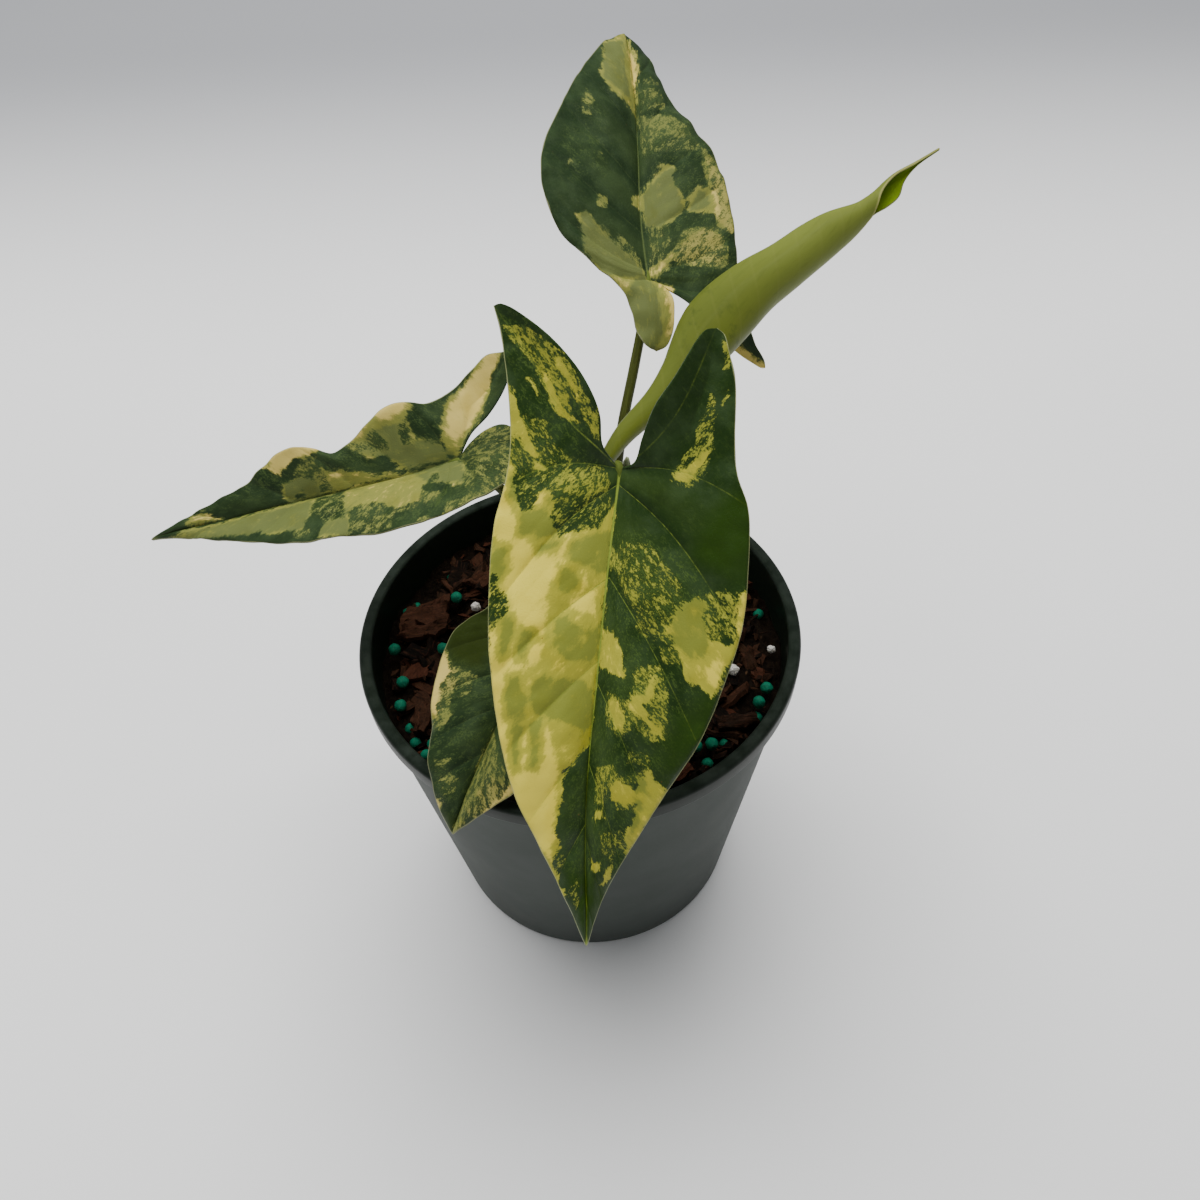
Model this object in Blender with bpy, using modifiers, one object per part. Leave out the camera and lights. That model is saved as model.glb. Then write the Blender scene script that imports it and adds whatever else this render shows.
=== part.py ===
"""A potted syngonium: five leaves on slender petioles in a round nursery pot of potting mix.

Lengths are in millimetres and become metres through MM where geometry is made. The origin is
the centre of the pot's flat underside, +Z is up, and the largest leaf hangs towards -Y.
"""
import math
import random

import bmesh
import bpy
from mathutils import Vector, noise
from mathutils.bvhtree import BVHTree

MM = 0.001
GAP = 0.3

# Pot: a thin moulded wall that tapers to a flat floor, with a thicker rim.
POT_HEIGHT = 89.0
RIM_RADIUS = 52.5
RIM_WIDTH = 3.1
RIM_HEIGHT = 5.0
SHOULDER_RADIUS = 50.6
BASE_RADIUS = 38.5
WALL = 1.2
FLOOR = 1.4
POT_STEPS = 48
DRAIN_COUNT = 8
DRAIN_RADIUS = 4.5
DRAIN_CIRCLE = 29.0

# Potting mix and what lies on it.
MIX_TOP = 80.0
MIX_BUMP = 0.6
MIX_RINGS = 8
PRILL_RADIUS = 1.6

# Stem: a short upright piece at the middle of the pot, set in the mix.
STEM_X = 5.0
STEM_Y = -1.0
STEM_RADIUS = 3.4
STEM_TOP = 97.0
STEM_SOCKET = 6.0

# Leaf blades.
BLADE_THICKNESS = 0.5
LOBE_ROWS = 6
BLADE_ROWS = 12
HALF_COLUMNS = 4
ROLL_SIDES = 12

# Each leaf lies in its own frame: its origin is the junction with the petiole, +y runs along
# the midrib to the tip, and +z comes out of the upper face. "right" is the half at +x. An
# outer margin runs from the lobe's tip to the leaf's tip, and a lobe margin from the
# junction to the lobe's tip. "shoulder" is the share of the outer margin beside the lobe.
LEAVES = {
    "front_leaf": {
        "junction": (10.5, -7.0, 144.8), "heading": 170.8, "rise": -41.2, "roll": -4.0,
        "midrib": [(0, 0, 0), (0.5, 10, 1), (1.0, 22, 2), (1.5, 41, 2.5), (2, 61, 2),
                   (1.5, 75, 1), (0.5, 87, 0), (0, 95, -1)],
        "right": {
            "outer": [(27, -30, 3), (23.5, -17, 3), (22, -4.5, 3), (22.3, 5, 3.5),
                      (23.8, 14, 4), (23.5, 27, 4.5), (22.5, 40, 4.5), (19.5, 55, 4),
                      (15.5, 66.5, 3), (10.5, 75.5, 1.5), (4, 87, 0), (0, 95, -1)],
            "lobe": [(0, 0, 0), (3.6, -4, 2.5), (4.5, -9.5, 4.5), (6.5, -14, 5.5),
                     (10, -19, 5.5), (15.5, -24.5, 4.5), (21.5, -28.5, 3.5), (27, -30, 3)],
            "shoulder": 0.26, "bulge": 1.5, "lobe_valley": 2.5,
        },
        "left": {
            "outer": [(-16.5, -28, 3), (-19, -25, 3), (-21.5, -17.5, 3), (-22, -7.5, 3),
                      (-23, 0, 3.5), (-25.5, 6.5, 4), (-26.2, 15, 4.5), (-26, 29, 4.5),
                      (-23.5, 40, 4), (-19.5, 52, 3.5), (-13, 64, 2), (-5.2, 79, 0.5),
                      (-2.9, 84.3, 0), (-1.4, 89, -0.5), (0, 95, -1)],
            "lobe": [(0, 0, 0), (-2.8, -1.4, 1.5), (-4, -6, 3.5), (-6, -12, 5.5),
                     (-9.5, -18, 5.5), (-13, -25, 4.5), (-16.5, -28, 3)],
            "shoulder": 0.24, "bulge": 1.5, "lobe_valley": 2.5,
        },
    },
    "back_leaf": {
        "junction": (19.8, 50.4, 150.3), "heading": 1.3, "rise": 23.4, "roll": 14.0,
        "midrib": [(0, 0, 0), (-0.5, 10, 0.3), (-0.5, 20, 0.5), (0.3, 39.5, 1), (0.5, 50, 1),
                   (0.7, 62, 0), (0.5, 72.5, -2)],
        "left": {
            "outer": [(1, -17, -2), (-2.8, -14, -1), (-4.2, -9, 0), (-6, -4.5, 0.5),
                      (-10, -0.5, 1), (-17, 5.5, 2), (-21.5, 11.5, 3), (-23.8, 18, 3.5),
                      (-24.4, 24.5, 4), (-23, 32.5, 4), (-19.5, 41, 3.5), (-15.5, 50, 2.5),
                      (-11, 58.5, 1.5), (-5.5, 67, 0), (0.5, 72.5, -2)],
            "lobe": [(0, 0, 0), (2.6, -2.2, 1.2), (4.6, -6, 2.5), (4.6, -10.5, 1.5),
                     (3, -15, -0.7), (1, -17, -2)],
            "shoulder": 0.17, "bulge": 1.5, "lobe_valley": -1.2,
        },
        "right": {
            "outer": [(28.5, -18.5, -4), (25.5, -14.5, -2), (23.5, -9.5, -0.8), (22, -1.5, 1),
                      (21.6, 7, 2), (21.4, 14, 2.7), (20.8, 21, 3), (19.3, 29.5, 3.5),
                      (16.5, 36.5, 3.5), (12.5, 44, 2.8), (8.8, 51, 1.8), (6.8, 59.5, 0.5),
                      (4.6, 66.5, -1), (0.5, 72.5, -2)],
            "lobe": [(0, 0, 0), (3.2, -2.4, 1), (9, -6, 0.8), (14, -10.5, -0.6),
                     (20.5, -15.3, -2.6), (28.5, -18.5, -4)],
            "shoulder": 0.27, "bulge": 1.5, "lobe_valley": -1.0,
        },
    },
    "left_leaf": {
        "junction": (-24.8, 18.5, 127.3), "heading": 97.6, "rise": -8.8, "roll": -20.0,
        "midrib": [(0, 0, 0), (-0.8, 9.5, 0), (-0.7, 21, 0), (-0.6, 30, 0), (-0.2, 40.5, 0),
                   (0, 58, -0.5), (0.5, 72.5, -1)],
        "left": {
            "outer": [(-2, -16.5, 4), (-7.5, -14, 4.5), (-11.5, -9, 5), (-13.2, -3, 5),
                      (-15, 5, 5), (-15.8, 13.5, 5), (-15.2, 21.5, 5), (-14, 28.5, 5),
                      (-12.6, 37.5, 4), (-9.5, 46, 3), (-4.8, 57.5, 1), (-1.2, 66.5, -0.2),
                      (0.5, 72.5, -1)],
            "lobe": [(0, 0, 0), (2, -3.5, 2), (3.4, -8, 3.6), (2.8, -12.5, 4.4),
                     (-2, -16.5, 4)],
            "shoulder": 0.2, "bulge": 1.0, "lobe_valley": 1.5,
        },
        "right": {
            "outer": [(21, -15.5, 5), (21, -11.5, 5), (18.5, -7.5, 5), (14.5, -1.5, 5),
                      (12.6, 3.5, 5.5), (13, 7, 7), (13.4, 10.5, 7.8), (12.6, 14.5, 7),
                      (10.5, 19.5, 5), (8.3, 23.5, 4), (7.3, 27.3, 4), (8.5, 31, 6),
                      (9.5, 35, 7), (9.4, 39, 6), (8, 43.5, 4), (5.8, 48, 2.6),
                      (4.6, 55, 1.6), (2.4, 64, 0.4), (0.5, 72.5, -1)],
            "lobe": [(0, 0, 0), (4.2, -4, 2), (7.4, -9, 3), (12, -13.6, 4), (16.5, -16, 5),
                     (21, -15.5, 5)],
            "shoulder": 0.2, "bulge": 0.8, "lobe_valley": 1.8,
        },
    },
    "small_leaf": {
        "junction": (-7.0, -16.7, 108.1), "heading": 149.1, "rise": -29.6, "roll": 0.0,
        "midrib": [(0, 0, 0), (0.3, 12, 1), (0.5, 25, 1.2), (0.7, 37, 0.6), (0.5, 47.5, -1)],
        "right": {
            "outer": [(8.5, -9, 2), (11.5, -4.5, 3), (13.2, 0.5, 3), (16, 4, 3), (18, 8, 3),
                      (18.4, 13, 3), (17.6, 18.5, 3), (16, 23.5, 3), (13.4, 29, 3),
                      (10.8, 35.5, 3), (8, 40, 2.2), (4.8, 44, 0.8), (0.5, 47.5, -1)],
            "lobe": [(0, 0, 0), (2, -3.5, 0.8), (4.5, -7, 1.5), (8.5, -9, 2)],
            "shoulder": 0.2, "bulge": 1.2, "lobe_valley": 0.8,
        },
        "left": {
            "outer": [(-8, -8.5, 2), (-11, -4, 3), (-13.5, 3, 3), (-15.2, 10, 3),
                      (-15, 18, 3), (-13, 26.5, 3), (-9.6, 34, 2.5), (-6.3, 38.8, 2),
                      (-2.8, 43.3, 1), (0.5, 47.5, -1)],
            "lobe": [(0, 0, 0), (-2, -3.5, 0.8), (-4.5, -6.5, 1.5), (-8, -8.5, 2)],
            "shoulder": 0.18, "bulge": 1.2, "lobe_valley": 0.8,
        },
    },
}

# The new leaf is still rolled into a spindle. A station holds its distance along the leaf,
# the spindle's centre (x, z), its half width and its half depth.
NEW_LEAF_JUNCTION = (8.1, -2.2, 143.7)
NEW_LEAF_HEADING = -51.4
NEW_LEAF_RISE = 17.6
NEW_LEAF_ROLL = 30.0
NEW_LEAF_STATIONS = [
    (0.5, 0.2, 0.0, 1.5, 1.4), (7.0, -1.6, -2.8, 2.1, 1.8), (17.7, -2.4, -6.8, 3.2, 2.6),
    (29.5, -4.8, -10.2, 5.4, 3.8), (40.5, -7.1, -11.8, 7.3, 4.6), (46.8, -7.6, -12.4, 7.2, 4.8),
    (55.1, -7.4, -12.2, 6.4, 4.6), (62.7, -6.1, -11.3, 5.6, 4.2), (70.4, -5.1, -10.0, 5.1, 3.8),
    (76.1, -3.9, -8.2, 4.3, 3.2), (81.4, -2.3, -6.4, 2.6, 2.1), (86.0, -1.1, -4.6, 1.3, 1.1),
    (94.0, -0.4, -2.2, 0.8, 0.7), (101.2, 0.0, 0.0, 0.35, 0.35),
]
ROLL_STEP = 0.12

# Petioles: route, then the radius at the foot and at the top.
PETIOLES = {
    "front_petiole": ([(5.4, -6.8, 81.2), (6.2, -7.6, 96), (8.4, -8.4, 115), (10.2, -7.4, 132),
                       (10.6, -5.9, 143.5)], 2.1, 1.2),
    "left_petiole": ([(-0.6, 0.3, 81.2), (-1.8, 2.6, 98), (-7, 8.5, 112), (-15.5, 14, 121.3),
                      (-23.9, 18.1, 125.9)], 2.0, 1.1),
    "back_petiole": ([(6.1, 4.7, 81.2), (8.0, 9.2, 100), (11, 18, 117), (13, 26, 128.5),
                      (15.8, 35, 137), (18.1, 43, 143.6), (20.1, 49.9, 149.0)], 2.0, 1.1),
    "small_petiole": ([(1.0, -4.8, 81.2), (-0.6, -7.4, 92), (-4, -12, 101), (-6.6, -16, 106.4)],
                      1.7, 1.0),
    "new_petiole": ([(STEM_X, STEM_Y, STEM_TOP + GAP), (4.7, -1.6, 112), (4.0, -3.0, 127),
                     (4.4, -4.4, 137), (5.7, -3.9, 141.8), (7.75, -2.5, 143.5)], 1.7, 1.3),
}
PETIOLE_POINTS = 12

# The sheath is a thin open channel beside the new petiole, ending in a point.
SHEATH_ROUTE = [(7.2, -1.2, 99.0), (8.4, -1.0, 112), (9.8, -1.2, 128), (11.4, -3.4, 139),
                (12.2, -5.0, 145.2)]
SHEATH_RADIUS = 3.0
SHEATH_ARC = math.radians(110)
SHEATH_THICKNESS = 0.5

# Bark chips: centre x and y, length, width, thickness and heading in degrees.
BARK_CHIPS = [
    (-38.6, 10.6, 11, 9.5, 2.2, 8), (-37.5, -19.0, 8, 5, 1.8, 80), (39.5, 15.5, 8, 5, 2.0, 60),
    (35.4, -24.6, 9, 3.2, 1.8, 5), (21.0, -37.5, 6, 3.5, 1.6, 40), (30.0, -15.0, 6, 4.5, 1.8, 110),
    (-24.0, 24.0, 8, 5, 2.0, 35), (-6.0, 37.0, 9, 6, 2.0, 160), (21.0, 33.0, 8, 5.5, 2.0, 20),
    (14.0, -20.0, 8, 6, 2.0, 75), (-20.0, -2.0, 7, 4.5, 1.8, 130), (24.0, 6.0, 9, 6, 2.0, 150),
    (3.0, 19.0, 7, 5, 1.8, 10), (-3.0, -30.0, 9, 6, 2.0, 100),
]
BARK_JITTER = 0.35

# Fertiliser prills and perlite grains: centre x and y, and for perlite its radius.
PRILLS = [
    (-45.4, 1.6), (-31.0, 17.6), (-33.5, 1.0), (-42.6, -8.6), (-42.6, -15.6), (-30.6, -13.6),
    (43.2, -15.6), (40.9, -19.6), (28.8, -30.6), (25.2, -31.0), (10.0, 41.0), (-15.0, 30.0),
]
PERLITE = [
    (-26.0, 14.6, 1.2), (-28.0, 6.0, 1.1), (45.9, -3.8, 1.0), (36.0, -9.6, 1.3),
    (30.5, 22.0, 1.4), (-14.0, 15.0, 1.2),
]
PERLITE_JITTER = 0.15

COLOURS = {
    "pot": ((0.022, 0.038, 0.030), 0.42),
    "potting_mix": ((0.030, 0.018, 0.012), 0.95),
    "leaf": ((0.050, 0.110, 0.030), 0.35),
    "new_leaf": ((0.330, 0.420, 0.080), 0.45),
    "petiole": ((0.060, 0.085, 0.025), 0.45),
    "sheath": ((0.160, 0.190, 0.070), 0.60),
    "bark": ((0.080, 0.035, 0.018), 0.90),
    "prill": ((0.005, 0.170, 0.110), 0.45),
    "perlite": ((0.750, 0.740, 0.700), 0.90),
}


def clear_scene():
    for obj in list(bpy.data.objects):
        bpy.data.objects.remove(obj, do_unlink=True)


def make_material(name):
    colour, roughness = COLOURS[name]
    material = bpy.data.materials.new(name)
    material.use_nodes = True
    shader = material.node_tree.nodes["Principled BSDF"]
    shader.inputs["Base Color"].default_value = (*colour, 1.0)
    shader.inputs["Roughness"].default_value = roughness
    shader.inputs["Metallic"].default_value = 0.0
    material.diffuse_color = (*colour, 1.0)
    return material


def make_collection(name):
    collection = bpy.data.collections.new(name)
    bpy.context.scene.collection.children.link(collection)
    return collection


def add_object(name, data, material, collection):
    obj = bpy.data.objects.new(name, data)
    if material:
        data.materials.append(material)
    collection.objects.link(obj)
    return obj


def take_active(name, material, collection):
    """Name the primitive just added and move it to its collection."""
    obj = bpy.context.active_object
    obj.name = name
    obj.data.name = name
    for owner in list(obj.users_collection):
        owner.objects.unlink(obj)
    collection.objects.link(obj)
    if material:
        obj.data.materials.append(material)
    return obj


def smooth(mesh, angle=40.0):
    mesh.shade_smooth()
    mesh.set_sharp_from_angle(angle=math.radians(angle))


def spline(points, samples=10):
    """A dense line on the Catmull-Rom curve through the points."""
    inner = [Vector(point) for point in points]
    ends = [2 * inner[0] - inner[1]] + inner + [2 * inner[-1] - inner[-2]]
    dense = []
    for a, b, c, d in zip(ends, ends[1:], ends[2:], ends[3:]):
        for step in range(samples):
            t = step / samples
            dense.append(0.5 * (2 * b + (c - a) * t + (2 * a - 5 * b + 4 * c - d) * t ** 2
                                + (3 * b - a - 3 * c + d) * t ** 3))
    return dense + [inner[-1]]


def along(line, share):
    """The point at this share of the line's length."""
    lengths = [(b - a).length for a, b in zip(line, line[1:])]
    left = share * sum(lengths)
    for start, end, length in zip(line, line[1:], lengths):
        if left <= length:
            return start.lerp(end, left / length)
        left -= length
    return line[-1].copy()


def turned(name, profile, steps, material, collection):
    """A profile of (radius, height) pairs turned about the object's own Z axis."""
    mesh = bpy.data.meshes.new(name)
    points = [(radius * MM, 0.0, height * MM) for radius, height in profile]
    mesh.from_pydata(points, [(i, i + 1) for i in range(len(points) - 1)], [])
    obj = add_object(name, mesh, material, collection)
    screw = obj.modifiers.new("Turn", "SCREW")
    screw.angle = math.tau
    screw.steps = steps
    screw.render_steps = steps
    screw.use_merge_vertices = True
    screw.merge_threshold = 0.00005
    return obj


def mesh_of(obj):
    """Replace an object's modifiers by the mesh they make."""
    bpy.context.view_layer.update()
    evaluated = obj.evaluated_get(bpy.context.evaluated_depsgraph_get())
    mesh = bpy.data.meshes.new_from_object(evaluated)
    obj.modifiers.clear()
    obj.data = mesh
    return obj


def cut(target, cutter, name):
    boolean = target.modifiers.new(name, "BOOLEAN")
    boolean.operation = "DIFFERENCE"
    boolean.object = cutter


def hide_cutter(cutter):
    cutter.hide_render = True
    cutter.display_type = "WIRE"


def wall_radius(height):
    """Outer radius of the pot's tapered wall."""
    share = height / (POT_HEIGHT - RIM_HEIGHT)
    return BASE_RADIUS + (SHOULDER_RADIUS - BASE_RADIUS) * share


def build_pot(parts, cutters, materials):
    rim_inner = RIM_RADIUS - RIM_WIDTH
    rim_foot = POT_HEIGHT - RIM_HEIGHT
    profile = [
        (0, FLOOR), (BASE_RADIUS - WALL - 0.8, FLOOR), (wall_radius(2.2) - WALL, 2.2),
        (wall_radius(rim_foot) - WALL, rim_foot), (rim_inner, POT_HEIGHT - 0.8),
        (rim_inner + 0.7, POT_HEIGHT), (RIM_RADIUS - 0.9, POT_HEIGHT),
        (RIM_RADIUS, POT_HEIGHT - 0.9), (RIM_RADIUS - 0.2, rim_foot + 0.5),
        (RIM_RADIUS - 0.7, rim_foot), (SHOULDER_RADIUS, rim_foot - 0.1),
        (wall_radius(1.0), 1.0), (BASE_RADIUS - 0.8, 0), (0, 0),
    ]
    pot = turned("pot", profile, POT_STEPS, materials["pot"], parts)
    drills = bmesh.new()
    for index in range(DRAIN_COUNT):
        angle = math.tau * (index + 0.5) / DRAIN_COUNT
        before = set(drills.verts)
        bmesh.ops.create_cone(drills, cap_ends=True, segments=16, radius1=DRAIN_RADIUS * MM,
                              radius2=DRAIN_RADIUS * MM, depth=8 * MM)
        fresh = [vert for vert in drills.verts if vert not in before]
        place = Vector((math.cos(angle), math.sin(angle), 0)) * DRAIN_CIRCLE * MM
        bmesh.ops.translate(drills, verts=fresh, vec=place)
    mesh = bpy.data.meshes.new("drain_holes")
    drills.to_mesh(mesh)
    drills.free()
    holes = add_object("drain_holes", mesh, None, cutters)
    hide_cutter(holes)
    cut(pot, holes, "Drain holes")


def build_mix(parts, cutters, materials):
    top_radius = wall_radius(MIX_TOP) - WALL - GAP
    foot = FLOOR + GAP
    rings = [(top_radius * i / MIX_RINGS, MIX_TOP) for i in range(MIX_RINGS + 1)]
    profile = rings + [(wall_radius(foot + 2) - WALL - GAP, foot + 2),
                       (BASE_RADIUS - WALL - 1.6, foot), (0, foot)]
    mix = mesh_of(turned("potting_mix", profile, POT_STEPS, materials["potting_mix"], parts))
    for vert in mix.data.vertices:
        radius = math.hypot(vert.co.x, vert.co.y) / MM
        if vert.co.z / MM > MIX_TOP - 1 and radius < top_radius - 1:
            vert.co.z += MIX_BUMP * MM * noise.noise(vert.co * 90.0)
    bpy.ops.mesh.primitive_cylinder_add(
        vertices=24, radius=(STEM_RADIUS + GAP) * MM, depth=2 * (STEM_SOCKET + GAP) * MM,
        location=(STEM_X * MM, STEM_Y * MM, MIX_TOP * MM))
    socket = take_active("stem_socket", None, cutters)
    hide_cutter(socket)
    top = BVHTree.FromPolygons([vert.co for vert in mix.data.vertices],
                               [face.vertices for face in mix.data.polygons])
    peaks = [vert.co.copy() for vert in mix.data.vertices]
    cut(mix, socket, "Stem socket")
    return top, peaks


def build_stem(parts, materials):
    foot = MIX_TOP - STEM_SOCKET
    profile = [(0, STEM_TOP), (STEM_RADIUS - 1.2, STEM_TOP), (STEM_RADIUS - 0.5, STEM_TOP - 2)]
    for ring in (91.5, 85.5):
        profile += [(STEM_RADIUS - 0.7, ring + 1.2), (STEM_RADIUS - 0.2, ring),
                    (STEM_RADIUS - 0.6, ring - 1.0)]
    profile += [(STEM_RADIUS, foot + 1), (STEM_RADIUS - 0.6, foot), (0, foot)]
    stem = turned("stem", profile, 16, materials["petiole"], parts)
    stem.location = (STEM_X * MM, STEM_Y * MM, 0)


def half_rows(leaf, side):
    """Rows of points from the margin or midrib (column 0) out to the outer margin."""
    midrib = spline(leaf["midrib"])
    outer = spline(side["outer"])
    lobe = spline(side["lobe"])
    shoulder = side["shoulder"]
    rows = []
    for index in range(LOBE_ROWS, 0, -1):
        share = index / LOBE_ROWS
        rise = -side["lobe_valley"] * math.sin(math.pi * share) ** 0.5
        rows.append((along(lobe, share), along(outer, shoulder * (1 - share)), rise))
    for index in range(BLADE_ROWS + 1):
        share = index / BLADE_ROWS
        rise = side["bulge"] * math.sin(math.pi * share) ** 0.7 if index < BLADE_ROWS else 0
        rows.append((along(midrib, share), along(outer, shoulder + (1 - shoulder) * share), rise))
    grid = []
    for inner, margin, rise in rows:
        line = []
        for column in range(HALF_COLUMNS + 1):
            across = column / HALF_COLUMNS
            point = inner.lerp(margin, across)
            point.z += rise * math.sin(math.pi * across)
            line.append(point)
        grid.append(line)
    return grid


def build_leaf(name, leaf, parts, materials):
    """A thin blade: two half grids that share the midrib."""
    loft = bmesh.new()
    midrib_verts = {}
    for side in ("right", "left"):
        grid = half_rows(leaf, leaf[side])
        verts = []
        for row, line in enumerate(grid):
            tip_row = row in (0, len(grid) - 1)
            row_verts = []
            for column, point in enumerate(line):
                shared = column == 0 and row >= LOBE_ROWS
                if tip_row and column > 0:
                    vert = row_verts[0]
                elif shared and row in midrib_verts:
                    vert = midrib_verts[row]
                else:
                    vert = loft.verts.new(point * MM)
                if shared:
                    midrib_verts[row] = vert
                row_verts.append(vert)
            verts.append(row_verts)
        for low, high in zip(verts, verts[1:]):
            for column in range(HALF_COLUMNS):
                ring = [low[column], low[column + 1], high[column + 1], high[column]]
                if side == "left":
                    ring.reverse()
                loft.faces.new(dict.fromkeys(ring))
    mesh = bpy.data.meshes.new(name)
    loft.to_mesh(mesh)
    loft.free()
    smooth(mesh, 60)
    blade = add_object(name, mesh, materials["leaf"], parts)
    blade.rotation_mode = "YXZ"
    blade.location = Vector(leaf["junction"]) * MM
    blade.rotation_euler = [math.radians(leaf[key]) for key in ("rise", "roll", "heading")]
    solid = blade.modifiers.new("Blade", "SOLIDIFY")
    solid.thickness = BLADE_THICKNESS * MM
    solid.offset = 0.0


def build_new_leaf(parts, materials):
    """The rolled leaf: rings whose radius drops by a step at the free margin."""
    loft = bmesh.new()
    rings = []
    for distance, x, z, width, depth in NEW_LEAF_STATIONS:
        ring = []
        for side in range(ROLL_SIDES):
            turn = side / (ROLL_SIDES - 1)
            angle = math.tau * (side / ROLL_SIDES) - math.radians(60)
            scale = 1.0 - ROLL_STEP * turn
            ring.append(loft.verts.new(Vector((
                x + width * scale * math.cos(angle), distance,
                z + depth * scale * math.sin(angle))) * MM))
        rings.append(ring)
    for low, high in zip(rings, rings[1:]):
        for side in range(ROLL_SIDES):
            after = (side + 1) % ROLL_SIDES
            loft.faces.new((low[after], low[side], high[side], high[after]))
    loft.faces.new(rings[0])
    loft.faces.new(reversed(rings[-1]))
    mesh = bpy.data.meshes.new("new_leaf")
    loft.to_mesh(mesh)
    loft.free()
    smooth(mesh, 50)
    leaf = add_object("new_leaf", mesh, materials["new_leaf"], parts)
    leaf.rotation_mode = "YXZ"
    leaf.location = Vector(NEW_LEAF_JUNCTION) * MM
    leaf.rotation_euler = [math.radians(angle) for angle in
                           (NEW_LEAF_RISE, NEW_LEAF_ROLL, NEW_LEAF_HEADING)]


def build_petiole(name, route, foot_radius, top_radius, parts, materials):
    line = spline(route)
    curve = bpy.data.curves.new(name, "CURVE")
    curve.dimensions = "3D"
    curve.bevel_depth = MM
    curve.bevel_resolution = 2
    curve.use_fill_caps = True
    stalk = curve.splines.new("POLY")
    stalk.points.add(PETIOLE_POINTS - 1)
    for index, point in enumerate(stalk.points):
        share = index / (PETIOLE_POINTS - 1)
        point.co = (*(along(line, share) * MM), 1.0)
        point.radius = top_radius + (foot_radius - top_radius) * (1 - share) ** 1.5
    add_object(name, curve, materials["petiole"], parts)


def build_sheath(parts, materials):
    """An open channel that narrows to a point at its top."""
    rows = 9
    columns = 4
    line = spline(SHEATH_ROUTE)
    loft = bmesh.new()
    grid = []
    for row in range(rows):
        share = row / (rows - 1)
        centre = along(line, share)
        half_arc = 0.5 * SHEATH_ARC * (1 - share ** 3)
        verts = []
        for column in range(columns + 1):
            angle = half_arc * (2 * column / columns - 1)
            offset = Vector((math.cos(angle) - 1, math.sin(angle), 0)) * SHEATH_RADIUS
            if row < rows - 1 or column == 0:
                verts.append(loft.verts.new((centre + offset) * MM))
            else:
                verts.append(verts[0])
        grid.append(verts)
    for low, high in zip(grid, grid[1:]):
        for column in range(columns):
            ring = [low[column], low[column + 1], high[column + 1], high[column]]
            loft.faces.new(dict.fromkeys(ring))
    mesh = bpy.data.meshes.new("front_sheath")
    loft.to_mesh(mesh)
    loft.free()
    smooth(mesh, 60)
    sheath = add_object("front_sheath", mesh, materials["sheath"], parts)
    solid = sheath.modifiers.new("Skin", "SOLIDIFY")
    solid.thickness = SHEATH_THICKNESS * MM
    solid.offset = 0.0


def jitter(obj, amount, rng):
    for vert in obj.data.vertices:
        vert.co += Vector([rng.uniform(-amount, amount) * MM for _ in range(3)])


def lay_on_mix(obj, x, y, reach, surface):
    """Seat a loose piece just above the highest mix under it."""
    top, peaks = surface
    middle = Vector((x, y, 0)) * MM
    heights = [peak.z for peak in peaks if (peak.xy - middle.xy).length < reach * MM]
    for step in range(8):
        angle = math.tau * step / 8
        for share in (0.5, 1.0):
            out = Vector((math.cos(angle), math.sin(angle), 0)) * reach * share * MM
            hit = top.ray_cast(middle + out + Vector((0, 0, 1)), Vector((0, 0, -1)))[0]
            heights.append(hit.z)
    lowest = min(vert.co.z for vert in obj.data.vertices)
    obj.location = (x * MM, y * MM, max(heights) - lowest + GAP * MM)


def build_chips(parts, materials, surface):
    rng = random.Random(7)
    for index, (x, y, length, width, thick, heading) in enumerate(BARK_CHIPS, start=1):
        bpy.ops.mesh.primitive_cube_add(size=1.0)
        chip = take_active(f"bark_chip_{index:02d}", materials["bark"], parts)
        for vert in chip.data.vertices:
            vert.co = Vector((vert.co.x * length, vert.co.y * width, vert.co.z * thick)) * MM
        jitter(chip, BARK_JITTER, rng)
        lay_on_mix(chip, x, y, (length + width) / 4, surface)
        chip.rotation_euler = (0, 0, math.radians(heading))
        bevel = chip.modifiers.new("Worn edges", "BEVEL")
        bevel.width = 0.5 * MM
        bevel.segments = 1


def build_grains(parts, materials, surface):
    rng = random.Random(11)
    for index, (x, y) in enumerate(PRILLS, start=1):
        bpy.ops.mesh.primitive_ico_sphere_add(subdivisions=2, radius=PRILL_RADIUS * MM)
        prill = take_active(f"fertiliser_prill_{index:02d}", materials["prill"], parts)
        lay_on_mix(prill, x, y, PRILL_RADIUS / 2, surface)
        smooth(prill.data, 60)
    for index, (x, y, radius) in enumerate(PERLITE, start=1):
        bpy.ops.mesh.primitive_ico_sphere_add(subdivisions=2, radius=radius * MM)
        grain = take_active(f"perlite_{index:02d}", materials["perlite"], parts)
        jitter(grain, PERLITE_JITTER, rng)
        lay_on_mix(grain, x, y, radius / 2, surface)


def main():
    clear_scene()
    parts = make_collection("potted_syngonium")
    cutters = make_collection("cutters")
    materials = {name: make_material(name) for name in COLOURS}
    build_pot(parts, cutters, materials)
    surface = build_mix(parts, cutters, materials)
    build_stem(parts, materials)
    for name, leaf in LEAVES.items():
        build_leaf(name, leaf, parts, materials)
    build_new_leaf(parts, materials)
    for name, (route, foot_radius, top_radius) in PETIOLES.items():
        build_petiole(name, route, foot_radius, top_radius, parts, materials)
    build_sheath(parts, materials)
    build_chips(parts, materials, surface)
    build_grains(parts, materials, surface)


main()
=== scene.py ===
"""The looks of a potted syngonium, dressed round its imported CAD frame.

Lengths are in millimetres and become metres through MM where geometry is made. The origin is
the centre of the pot's flat underside, +Z is up, and the largest leaf hangs towards -Y.
"""
import math
import random

import bmesh
import bpy
import numpy as np
from mathutils import Euler, Matrix, Vector, noise


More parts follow.
